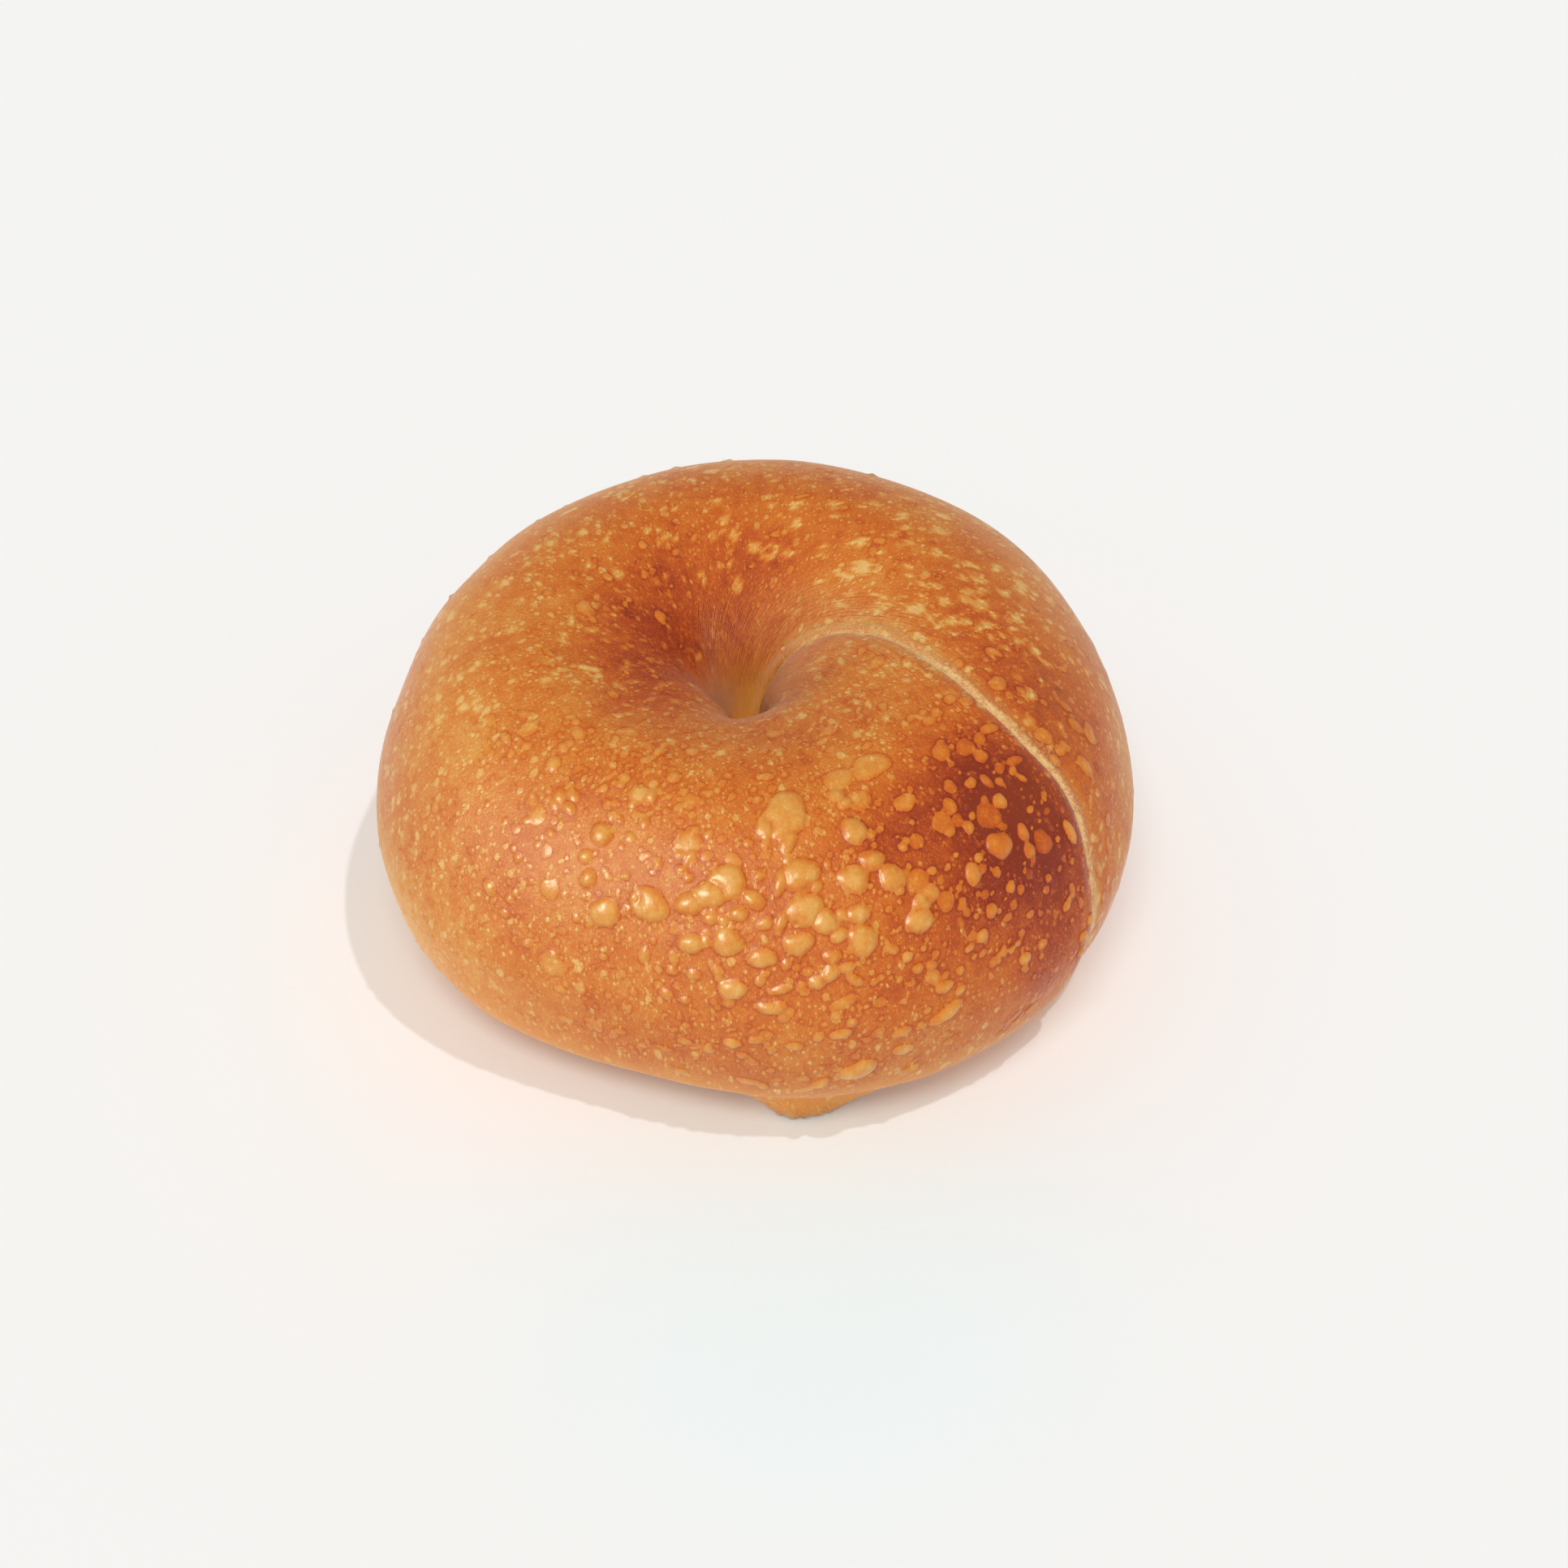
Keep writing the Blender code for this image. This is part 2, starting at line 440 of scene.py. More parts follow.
PLATES = (
    (168.5, 107.5, 2.4, 2), (204.5, 70.5, 2, 1.6), (222, 88, 2.6, 1.6), (225, 59.5, 1.8, 1.4),
    (227, 56.5, 2.4, 2.4), (231.5, 47, 1.4, 1.8), (232.5, 99, 2.2, 1.6), (236.5, 12.5, 3.8, 3.2),
    (238, -6, 2.4, 1.4), (239.5, 95.5, 2.2, 1.4), (243, -3.7, 2.4, 1.4), (252.5, 99.5, 1.8, 1.5),
    (256, 77, 2.4, 1.8), (257, 62.8, 3.4, 2.8), (266, 59.5, 2.4, 1.4, -30),
    (268.5, -12.7, 3.4, 1.7), (277, -14.7, 3, 1.3, 30), (280, 116, 2.5, 1.8),
    (282.5, 16.3, 3.6, 1.6, 25), (288, 15, 1.8, 1.4), (291, 86, 4.2, 3), (293, 77, 2.8, 3),
    (296.5, 18.3, 2, 2.6, 20), (297.5, 47.8, 3, 2.8), (297.5, 109, 2.2, 2.2), (299.5, 87, 5, 3.6),
    (300, 58.8, 1.8, 2), (301, 39, 2.4, 2.6), (301.5, 71.3, 3, 2.2, 20), (306, 61, 2.6, 2.6),
    (306.5, 15, 1.2, 1.6), (309, 64, 1.8, 2.2), (310.5, 26, 1.5, 1.1), (311, -9, 3, 1.1, 40),
    (311.5, 69, 1.6, 2), (312, 28.5, 1.1, 1.4), (314, 31.5, 1.2, 1.4), (314.5, 55.5, 3.3, 3.6),
    (315.5, 79.5, 2.6, 2.3), (318.5, 95.5, 1.4, 1.1), (320.5, 90, 1.8, 1.4),
    (321, 39.5, 2.6, 3.4), (321.5, 71, 2, 1.8), (322.5, 64.5, 1.6, 1.4), (323, 21, 1, 2.2),
    (324, 15.5, 1, 1.7), (324, 90.5, 1.5, 1.3), (324.5, 75, 1.7, 1.6), (326, 63, 2.6, 1.2, -30),
    (328, 75, 2.6, 1.4, -30), (329.5, 90, 1.6, 1.4), (334.5, 52.5, 1.4, 2), (336, 61, 1, 1.4),
    (338.5, 52, 1.5, 1.7), (340.5, 118.5, 2.4, 1.8), (342.5, 80, 2.4, 2.4), (344, 64, 1, 1.3),
    (349, 124, 1.8, 1.2), (352, 84.5, 1.7, 1.6), (356, 58.5, 1, 1.6),
)
RINGS = (
    (212.5, 78.5, 2.2, 2.4), (234, 36, 2.5, 2.6), (320.5, 76, 2.4, 2.4), (332, 5, 1.1, 1.9),
    (332, 14.5, 1.2, 2.2), (336, 16.5, 1.2, 2.3), (337, 59.5, 2, 2.6), (339, 42.5, 2, 3.4),
    (343.5, 72.5, 1.1, 1.4), (344.5, 51, 1.5, 3), (347, 56, 1.2, 2.2),
)
SOFT_SPOTS = (
    (88.5, 118, 1.8, 2), (96.5, 113.5, 1.4, 1.6), (96.5, 130, 1.4, 2.4), (147, 111, 1.8, 1.2),
    (176, 104.5, 2, 1.2), (355, 65, 1, 2.2), (357.5, 70.5, 1.6, 1.2), (359.5, 88.5, 1.4, 1.2),
    (361.5, 86.5, 1.2, 1.4), (362.5, 93.5, 1.6, 1.5), (365, 75, 1.4, 2), (365.5, 104.5, 1.5, 1.2),
    (368.5, 86.5, 3, 2.4), (371, 107, 2, 1.5), (371.5, 98.5, 2, 1.6), (374, 84.5, 1.6, 1.6),
    (374, 89, 1.8, 1.4), (378, 67, 2.6, 1.8), (378.5, 118, 1.8, 1.2), (380, 88.5, 1.6, 1.2),
    (383.5, 73.5, 1.8, 1.2), (395, 126, 1.6, 1.2), (402.5, 113.5, 2.4, 2.2),
    (405, 118.5, 1.8, 1.2), (410, 106, 1.6, 1.8),
)


@dataclass(frozen=True)
class Field:
    """A stretch of crust over which small blisters are strewn."""

    azimuths: tuple[float, float]
    turns: tuple[float, float]
    count: int
    widths: tuple[float, float]
    makes: tuple[Make, ...]


FIELDS = (
    Field((255, 328), (-14, 66), 420, (0.6, 1.7), (Make.DOME, Make.DOME, Make.PLATE)),
    Field((205, 262), (-14, 95), 420, (0.6, 1.3), (Make.DOME, Make.DOME, Make.PLATE)),
    Field((232, 326), (66, 122), 190, (0.6, 1.2), (Make.DOME, Make.PLATE, Make.PLATE)),
    Field((330, 420), (-10, 112), 300, (0.8, 2.0), (Make.RING, Make.SOFT, Make.SOFT)),
    Field((60, 205), (-10, 125), 420, (0.7, 1.6), (Make.SOFT, Make.SOFT, Make.DOME)),
    Field((130, 420), (96, 150), 230, (0.5, 1.3), (Make.SOFT, Make.SOFT, Make.PLATE)),
)


@dataclass(frozen=True)
class Patch:
    """A soft-edged stretch of crust that baked darker, or paler below zero, or that is painted paler
    as light: all in degrees.
    """

    azimuth: float
    turn: float
    wide: float
    long: float
    amount: float

    def share(self, azimuth: np.ndarray, turn: np.ndarray) -> np.ndarray:
        """Give the patch's darkening at these angles.

        Args:
            azimuth: Azimuths in radians.
            turn: Turns in radians.

        Returns:
            Amounts of darkening.
        """
        aside = degrees_off(azimuth, self.azimuth) / self.wide
        along = degrees_off(turn, self.turn) / self.long
        return self.amount * np.exp(-(aside**2) - along**2)


@dataclass
class Bake:
    """How dark the crust baked from place to place, from 0 for pale dough to 1 for dark brown, with
    some paler patches painted in as light.
    """

    plain: float = 0.43
    patches: tuple = (
        Patch(316, 60, 13, 22, 0.50),
        Patch(321, 42, 11, 24, 0.44),
        Patch(298, 64, 9, 13, 0.22),
        Patch(317, 10, 12, 20, 0.18),
        Patch(303, 34, 13, 18, 0.15),
        Patch(210, 88, 45, 26, 0.07),
        Patch(90, 90, 60, 30, 0.05),
        Patch(285, 28, 42, 36, 0.07),
        # Painted light: paler low on the left side, where the floor's bounce and the sheen at the edge
        # fall.
        Patch(196, -4, 24, 22, -0.20),
        Patch(165, 133, 50, 24, 0.36),
        Patch(277, 309, 16, 5, 0.35),
        Patch(207, 124, 20, 14, 0.15),
        Patch(322, 122, 30, 22, -0.06),
        Patch(95, 127, 45, 20, 0.16),
        Patch(347, 62, 14, 22, 0.26),
        Patch(5, 88, 25, 18, 0.12),
        Patch(200, 60, 40, 40, -0.10),
        Patch(185, 100, 40, 20, -0.06),
    )

    # Painted light: paler rims low on the left, on the right side and along the top back edge. They
    # stand for the sheen and the floor's bounce at the silhouettes.
    painted_rim_light: tuple = (
        Patch(200, -8, 28, 14, 0.45),
        Patch(8, 8, 24, 16, 0.25),
        Patch(95, 54, 80, 17, 0.40),
    )
    throat_starts: tuple = (150, 176)
    throat_ends: tuple = (262, 225)
    throat_lit_bearing: float = 35.0
    throat_shaded_paleness: float = 0.55
    hem_starts: tuple = (318, 330)
    hem_ends: tuple = (352, 338)
    hem_paleness: float = 0.35
    crisp_slope: tuple = (168, 125)
    least_crisp: float = 0.35
    least_crisp_behind: float = 0.85

    def tone(self, azimuth: np.ndarray, turn: np.ndarray) -> np.ndarray:
        """Sum up the patches.

        Args:
            azimuth: Azimuths in radians.
            turn: Turns in radians.

        Returns:
            Tones, mostly from 0 to 1.
        """
        return self.plain + sum(patch.share(azimuth, turn) for patch in self.patches)

    def paleness_and_painted_light(self, azimuth: np.ndarray, turn: np.ndarray) -> np.ndarray:
        """Give where the dough stayed unbrowned, deep in the throat and low on the side. Painted light
        is added on the throat's wall that faces the lamps and on the rims.

        Args:
            azimuth: Azimuths in radians.
            turn: Turns in radians.

        Returns:
            Shares from 0 to 1.
        """
        around = np.degrees(turn) % 360
        # The throat's dough is unbrowned. It is painted paler still on the wall that faces the lamps,
        # as light falling into the hole.
        swing = np.cos(azimuth - math.radians(self.throat_lit_bearing))
        facing = self.throat_shaded_paleness + (1 - self.throat_shaded_paleness) * swing
        throat = ease(around, *self.throat_starts) * ease(around, *self.throat_ends) * facing
        hem = ease(around, *self.hem_starts) * ease(around, *self.hem_ends) * self.hem_paleness
        # The rim patches add painted light, not unbrowned dough.
        edges = sum(patch.share(azimuth, turn) for patch in self.painted_rim_light)
        return np.clip(throat + hem + edges, 0, 1)

    def crispness(self, azimuth: np.ndarray, turn: np.ndarray) -> np.ndarray:
        """Give how clearly the finest bubbles show, from 0 to 1.

        Args:
            azimuth: Azimuths in radians.
            turn: Turns in radians.

        Returns:
            Shares, highest on the front and lowest in the throat.
        """
        facing = 0.5 - 0.5 * np.sin(azimuth)
        steep = ease(degrees_off(turn), *self.crisp_slope)
        behind = self.least_crisp_behind + (1 - self.least_crisp_behind) * facing
        return behind * (self.least_crisp + (1 - self.least_crisp) * steep)


@dataclass
class CrustSkin:
    """Arrays over the crust's vertices, from which its shape and its colours come.

    Blister and beside are millimetres inside the nearest blister's outline and the next one's.
    """

    azimuth: np.ndarray
    turn: np.ndarray
    places: np.ndarray
    blister: np.ndarray = field(init=False)
    beside: np.ndarray = field(init=False)
    gold: np.ndarray = field(init=False)
    veil: np.ndarray = field(init=False)
    dome: np.ndarray = field(init=False)
    outside: float = -1.5
    crease_height: float = 0.12
    crease_share: float = 0.8
    edge_share: float = 0.8
    rim_width: float = 0.15

    def __post_init__(self) -> None:
        """Start with no blister anywhere. A dome is its rise, edge share, rim and radius."""
        count = len(self.azimuth)
        self.blister = np.full(count, self.outside)
        self.beside = np.full(count, self.outside)
        self.gold = np.zeros(count)
        self.veil = np.zeros(count)
        self.dome = np.tile((0.0, 0.0, 0.0, 1.0), (count, 1))

    def settle(self) -> None:
        """Part touching blisters by a crease, which is as deep as they are unequal."""
        parted = self.crease_height + self.crease_share * (self.blister - self.beside)
        self.blister = np.where(self.beside > 0, np.minimum(self.blister, parted), self.blister)

    def rises(self, edge: float) -> np.ndarray:
        """Give how far the blisters stand out.

        Args:
            edge: The widest steep edge, in millimetres.

        Returns:
            Millimetres.
        """
        rise, share, rim, radius = self.dome.T
        slope = 1 - np.clip(self.blister / np.minimum(edge, self.edge_share * radius), 0, 1)
        crown = 1 - (1 - np.clip(self.blister / radius, 0, 1)) ** 2
        shape = rise * (share * np.sqrt(np.maximum(1 - slope**2, 0)) + (1 - share) * crown)
        return shape + rim * np.exp(-((self.blister / self.rim_width - 1) ** 2))


@dataclass
class Blistering:
    """Every blister on the crust: those in the tables and those strewn between them.

    Edge, most_rise and reach_beyond are millimetres. Ranges are what a draw falls between.
    """

    seed: int = 41
    least_gap: float = 0.55
    edge: float = 0.5
    most_rise: float = 0.8
    wobble: tuple = ((2, 0.07), (3, 0.06), (5, 0.03))
    wobble_range: tuple = (0.4, 1.3)
    gold_range: tuple = (0.72, 1.08)
    rise_range: tuple = (0.75, 1.15)
    length_range: tuple = (0.75, 1.1)
    tilt_range: tuple = (-40, 40)
    smallness: float = 2.2
    outline_share: float = 1.3
    reach_beyond: float = 1.5
    veil_edge: tuple = (-0.1, 0.18)

    def placed(self) -> list[Blister]:
        """Give the blisters in the tables."""
        groups = zip((DOMES, PLATES, RINGS, SOFT_SPOTS), Make)
        return [Blister(*row, make=make) for rows, make in groups for row in rows]

    def strewn(self, chance: random.Random) -> list[Blister]:
        """Strew small blisters over the fields.

        Args:
            chance: The source of random numbers.

        Returns:
            Blisters, small ones most often.
        """
        found = []
        for area in FIELDS:
            small, large = area.widths
            for _ in range(area.count):
                width = small + (large - small) * chance.random() ** self.smallness
                found.append(
                    Blister(
                        chance.uniform(*area.azimuths),
                        chance.uniform(*area.turns),
                        width,
                        width * chance.uniform(*self.length_range),
                        chance.uniform(*self.tilt_range),
                        chance.choice(area.makes),
                    )
                )
        return found

    def raise_on(self, skin: CrustSkin, rope: Rope) -> int:
        """Raise all blisters on the skin.

        Args:
            skin: The crust's arrays, which are changed.
            rope: The ring that the blisters sit on.

        Returns:
            How many blisters were raised.
        """
        chance = random.Random(self.seed)
        tree = KDTree(len(skin.places))
        for index, place in enumerate(skin.places):
            tree.insert(place, index)
        tree.balance()
        centres: list[tuple[Vector, float]] = []
        placed = self.placed()
        for order, blister in enumerate(placed + self.strewn(chance)):
            centre, across, along = self.seat(blister, rope)
            half = max(blister.across, blister.along) / 2
            if order >= len(placed) and any(
                (centre - other).length < (half + size) * self.least_gap * MM
                for other, size in centres
            ):
                continue
            centres.append((centre, half))
            near = tree.find_range(centre, (half * self.outline_share + self.reach_beyond) * MM)
            if near:
                index = np.array([found[1] for found in near])
                self.raise_one(skin, blister, index, centre, across, along, chance)
        skin.settle()
        return len(centres)

    def seat(self, blister: Blister, rope: Rope) -> tuple[Vector, np.ndarray, np.ndarray]:
        """Find a blister's middle and its directions on the plain ring.

        Args:
            blister: The blister.
            rope: The ring.

        Returns:
            Its middle, and unit vectors along azimuth and turn, tilted with it.
        """
        azimuth = np.radians([blister.azimuth] * 3)
        turn = np.radians([blister.turn] * 3)
        azimuth[1] += SLOPE_STEP
        turn[2] += SLOPE_STEP
        flat = np.zeros(3)
        middle, beside, above = rope.place(azimuth, turn, flat, flat)
        across, along = beside - middle, above - middle
        across /= np.linalg.norm(across)
        along /= np.linalg.norm(along)
        tilt = math.radians(blister.tilt)
        turned = across * math.cos(tilt) + along * math.sin(tilt)
        return Vector(middle), turned, along * math.cos(tilt) - across * math.sin(tilt)

    def raise_one(
        self,
        skin: CrustSkin,
        blister: Blister,
        index: np.ndarray,
        centre: Vector,
        across: np.ndarray,
        along: np.ndarray,
        chance: random.Random,
    ) -> None:
        """Raise one blister.

        Args:
            skin: The crust's arrays, which are changed.
            blister: The blister.
            index: The vertices near it.
            centre: Its middle.
            across: Its direction along the azimuth.
            along: Its direction along the turn.
            chance: The source of random numbers.
        """
        share_up, share_edge, gold, rim = blister.make.value
        offset = (skin.places[index] - np.array(centre)) / MM
        x = offset @ across / (blister.across / 2)
        y = offset @ along / (blister.along / 2)
        bearing = np.arctan2(y, x)
        outline = 1 + sum(
            size
            * chance.uniform(*self.wobble_range)
            * np.cos(waves * bearing + chance.uniform(0, math.tau))
            for waves, size in self.wobble
        )
        radius = min(blister.across, blister.along) / 2
        inside = (1 - np.hypot(x, y) / outline) * radius
        gold *= chance.uniform(*self.gold_range)
        size = math.sqrt(blister.across * blister.along)
        rise = share_up * size * chance.uniform(*self.rise_range)
        if blister.make is Make.SOFT:
            veil = gold * ease(inside, *self.veil_edge)
            skin.veil[index] = np.maximum(skin.veil[index], veil)
            return
        nearer = inside > skin.blister[index]
        skin.beside[index] = np.where(
            nearer, skin.blister[index], np.maximum(skin.beside[index], inside)
        )
        skin.blister[index] = np.maximum(skin.blister[index], inside)
        skin.gold[index] = np.where(nearer, gold, skin.gold[index])
        skin.dome[index[nearer]] = (min(rise, self.most_rise), share_edge, rim, radius)


@dataclass(frozen=True)
class Cloud:
    """Soft noise: its lumps in millimetres, its layers, and how strongly it tells in each sum."""

    size: float
    layers: float
    rough: float = 0.55
    browning: float = 0.0
    blister: float = 0.0
    relief: float = 0.0


@dataclass(frozen=True)
class FineBubbles:
    """Bubbles too fine for the mesh: their cell in millimetres, and radii as shares of it.

    A least radius below zero leaves some cells without a bubble.
    """

    cell: float
    least: float
    most: float
    paling: float
    relief: float
    swayed: bool = False
    edge: float = 0.35
    tiniest: float = 0.001


class Nodes:
    """Builds one material's node tree, a node at a time."""

    def __init__(self, material: bpy.types.Material) -> None:
        """Take over the tree of a material that uses nodes."""
        self.tree = material.node_tree
        self.shader = self.tree.nodes["Principled BSDF"]

    def feed(self, socket: Socket, value: Feed) -> None:
        """Link a socket, or set it.

        Args:
            socket: The input.
            value: An output socket, or a plain value.
        """
        if isinstance(value, Socket):
            self.tree.links.new(value, socket)
        else:
            socket.default_value = value

    def add(self, kind: str, feeds: dict, **settings: object) -> bpy.types.Node:
        """Add a node.

        Args:
            kind: The node's type, without its ShaderNode.
            feeds: Input name or number to output socket or value.
            settings: The node's own properties.

        Returns:
            The node.
        """
        node = self.tree.nodes.new("ShaderNode" + kind)
        for name, value in settings.items():
            setattr(node, name, value)
        for name, value in feeds.items():
            self.feed(node.inputs[name], value)
        return node

    def read(self, name: str, output: str = "Fac") -> Socket:
        """Read an attribute of the mesh, as a number or as a vector."""
        return self.add("Attribute", {}, attribute_name=name).outputs[output]

    def maths(self, operation: str, *values: Feed) -> Socket:
        """Work out one step of arithmetic.

        Args:
            operation: The Math node's operation.
            values: Its operands.

        Returns:
            The result's socket.
        """
        return self.add("Math", dict(enumerate(values)), operation=operation).outputs[0]

    def times(self, first: Feed, second: Feed) -> Socket:
        """Multiply two values."""
        return self.maths("MULTIPLY", first, second)

    def sum(self, *values: Feed) -> Socket:
        """Add values up.

        Args:
            values: Two or more sockets or numbers.

        Returns:
            The sum's socket.
        """
        total = values[0]
        for value in values[1:]:
            total = self.maths("ADD", total, value)
        return total

    def weigh(self, *terms: tuple[Feed, float]) -> Socket:
        """Add values up, each times its weight."""
        return self.sum(*(self.times(value, weight) for value, weight in terms))

    def ease(
        self, value: Feed, low: float, high: float, start: float = 0.0, end: float = 1.0
    ) -> Socket:
        """Rise smoothly between two values.

        Args:
            value: What is read.
            low: Where the rise starts.
            high: Where it ends.
            start: The result up to low.
            end: The result from high on.

        Returns:
            The result's socket.
        """
        feeds = {0: value, 1: low, 2: high, 3: start, 4: end}
        return self.add("MapRange", feeds, interpolation_type="SMOOTHSTEP").outputs[0]

    def mix(self, share: Feed, first: Feed, second: Feed) -> Socket:
        """Mix two numbers by the second one's share."""
        return self.add("Mix", {0: share, 2: first, 3: second}, data_type="FLOAT").outputs[0]

    def blend(self, share: Feed, first: Feed, second: Feed) -> Socket:
        """Blend two colours by the second one's share."""
        return self.add("Mix", {0: share, 6: first, 7: second}, data_type="RGBA").outputs[2]

    def cloud(self, place: Socket, cloud: Cloud) -> Socket:
        """Add soft noise about zero.

        Args:
            place: Where it is read, in millimetres.
            cloud: Its lumps and layers.

        Returns:
            A socket from about -0.5 to 0.5.
        """
        feeds = {"Vector": place, "Scale": 1 / cloud.size}
        feeds |= {"Detail": cloud.layers, "Roughness": cloud.rough}
        return self.maths("SUBTRACT", self.add("TexNoise", feeds).outputs[0], 0.5)

    def bubbles(self, place: Socket, size: FineBubbles) -> tuple[Socket, Socket]:
        """Add tiny round bubbles, one to a cell.

        Args:
            place: Where they are read, in millimetres.
            size: The cells' size and the bubbles' radii.

        Returns:
            Sockets for their cover from 0 to 1, and for their domed height from 0 to 1.
        """
        cells = self.add("TexVoronoi", {"Vector": place, "Scale": 1 / size.cell})
        own = self.add("SeparateColor", {0: cells.outputs["Color"]}).outputs[0]
        spread = self.maths("MULTIPLY_ADD", own, size.most - size.least, size.least)
        radius = self.maths("MAXIMUM", spread, size.tiniest)
        inside = self.maths("SUBTRACT", 1.0, self.maths("DIVIDE", cells.outputs[0], radius))
        domed = self.maths("SQRT", self.maths("MAXIMUM", inside, 0.0))
        return self.ease(inside, 0.0, size.edge), domed


class Patterns:
    """The sockets that all of the crust's finish is mixed from."""

    def __init__(self, nodes: Nodes, finish: "CrustFinish") -> None:
        """Read the crust's attributes and lay its noises and bubbles over them.

        Args:
            nodes: The material's nodes.
            finish: The crust's finish, which gives the sizes.
        """
        dough = nodes.read("dough", "Vector")
        place = nodes.add("VectorMath", {0: dough, "Scale": 1 / MM}, operation="SCALE").outputs[0]
        self.edge = nodes.read("blister")
        self.inside = nodes.ease(self.edge, *finish.blister_edge)
        self.drawn = nodes.read("drawn")
        self.drift = nodes.cloud(place, finish.drift)
        self.mottle = nodes.cloud(place, finish.mottle)
        self.grain = nodes.cloud(place, finish.grain)
        self.pores = nodes.cloud(place, finish.pores)
        strand = nodes.read("strand", "Vector")
        self.streak = nodes.times(nodes.cloud(strand, finish.streak), self.drawn)
        wavy = nodes.add("TexNoise", {"Vector": place, "Scale": 1 / finish.sway}).outputs["Color"]
        swayed = nodes.add("VectorMath", {0: place, 1: wavy}).outputs[0]
        self.bubbles = [
            (*nodes.bubbles(swayed if size.swayed else place, size), size)
            for size in finish.fine_bubbles
        ]

    def clouds(self, finish: "CrustFinish", tells_in: str) -> list[tuple[Socket, float]]:
        """Pair the noises that tell in a sum with their weights.

        Args:
            finish: The crust's finish, which gives the weights.
            tells_in: The weight's name: browning, blister or relief.

        Returns:
            Sockets with weights that aren't zero.
        """
        names = ("drift", "mottle", "grain", "pores", "streak")
        pairs = [(getattr(self, name), getattr(getattr(finish, name), tells_in)) for name in names]
        return [(socket, weight) for socket, weight in pairs if weight]


@dataclass(frozen=True)
class CrustFinish:
    """The baked crust: browned skin with pale blisters, specks and a pale ragged seam.

    Pairs are where a smooth rise starts and ends. Distances are in millimetres.
    """

    name: str = "baked_crust"
    browning: tuple = (
        (0.00, (0.79, 0.48, 0.155, 1)),
        (0.20, (0.72, 0.325, 0.060, 1)),
        (0.40, (0.66, 0.185, 0.016, 1)),
        (0.60, (0.55, 0.100, 0.007, 1)),
        (0.80, (0.37, 0.044, 0.004, 1)),
        (1.00, (0.24, 0.020, 0.003, 1)),
    )
    # The crumb colour is the unbrowned dough's own colour. It is also given off as painted light where
    # the dough is pale.
    crumb_and_glow: tuple = (1.0, 0.48, 0.09, 1)
    painted_glow: float = 0.10
    painted_glow_paleness: tuple = (0.3, 0.9)
    flap_dough: tuple = (0.70, 0.34, 0.09, 1)
    strip: tuple = (0.96, 0.66, 0.29, 1)
    roughness: float = 0.50
    blister_roughness: float = 0.29
    specular: float = 0.36
    sheen: float = 0.42
    sheen_roughness: float = 0.27
    sheen_tint: tuple = (1.0, 0.86, 0.72, 1)
    subsurface: float = 0.06
    subsurface_radius: tuple = (1.0, 0.35, 0.12)
    subsurface_scale: float = 0.0010
    drift: Cloud = Cloud(9.0, 2.0, browning=0.40)
    mottle: Cloud = Cloud(1.5, 4.0, browning=0.40, blister=0.42, relief=0.12)
    grain: Cloud = Cloud(0.32, 3.0, 0.6, browning=0.44, blister=0.20, relief=0.10)
    pores: Cloud = Cloud(0.14, 2.0, relief=0.03)
    streak: Cloud = Cloud(0.55, 3.0, browning=0.55, relief=0.40)
    sway: float = 1.8
    fine_bubbles: tuple = (
        FineBubbles(2.5, -0.35, 0.34, 0.26, 0.10, swayed=True),
        FineBubbles(1.5, -0.12, 0.42, 0.26, 0.11, swayed=True),
        FineBubbles(0.72, -0.05, 0.46, 0.26, 0.05),
        FineBubbles(0.34, 0.0, 0.5, 0.18, 0.018),
    )
    veil_paling: float = 0.56
    blister_edge: tuple = (-0.06, 0.10)
    blister_tone: float = 0.28
    blister_share: float = 0.13
    blister_crown: tuple = (0.0, 0.8)
    blister_crown_paling: float = 0.14
    ring_edge: tuple = (-0.45, -0.05)
    ring_darkening: float = 0.12
    strip_reach: tuple = (0.02, 0.3)
    strip_raggedness: tuple = (1.6, 2.6, 1.6)
    strip_near: tuple = (-0.6, 0.1)
    strip_far: tuple = (1.7, 0.4)
    strip_wear: tuple = (0.50, -0.05, 0.35, 1.0)
    skirt_far: tuple = (4.2, 0.4)
    skirt_near: tuple = (-1.3, 0.0)
    skirt_wander: float = 3.0
    skirt_dots: tuple = (0.02, 0.40)
    skirt_cover: float = 0.78
    strip_relief: float = 0.25
    flap_tearing: float = 0.9
    flap_torn: tuple = (0.35, 0.70)
    flap_cover: float = 0.75
    flap_relief: float = 0.5
    mottled_gloss: float = 0.16
    matt_dough: float = 0.2
    blister_gloss: float = 0.8
    blister_calm: float = 0.72
    bump: float = 1.0

    def material(self) -> bpy.types.Material:
        """Build the crust's material.

        Returns:
            A material that reads the crust's own attributes.
        """
        material = bpy.data.materials.new(self.name)
        material.use_nodes = True
        material.cycles.emission_sampling = "NONE"
        nodes = Nodes(material)
        skin = Patterns(nodes, self)
        # The pale attribute holds unbrowned dough and painted light on the rims and the throat's lit
        # wall.
        pale = nodes.read("pale")
        strip = self.seam_strip(nodes, skin)
        for name, value in (
            ("Base Color", self.colour(nodes, skin, strip, pale)),
            ("Roughness", self.gloss(nodes, skin, strip, pale)),
            ("Normal", self.relief(nodes, skin, strip)),
            # Painted light: the crumb colour glows in the throat and faintly on the pale rims,
            # lighting the hole though the crust is no lamp.
            ("Emission Color", self.crumb_and_glow),
            ("Emission Strength", nodes.times(nodes.ease(pale, *self.painted_glow_paleness), self.painted_glow)),
            ("Specular IOR Level", self.specular),
            ("Sheen Weight", self.sheen),
            ("Sheen Roughness", self.sheen_roughness),
            ("Sheen Tint", self.sheen_tint),
            ("Subsurface Weight", self.subsurface),
            ("Subsurface Radius", self.subsurface_radius),
            ("Subsurface Scale", self.subsurface_scale),
        ):
            nodes.feed(nodes.shader.inputs[name], value)
        return material

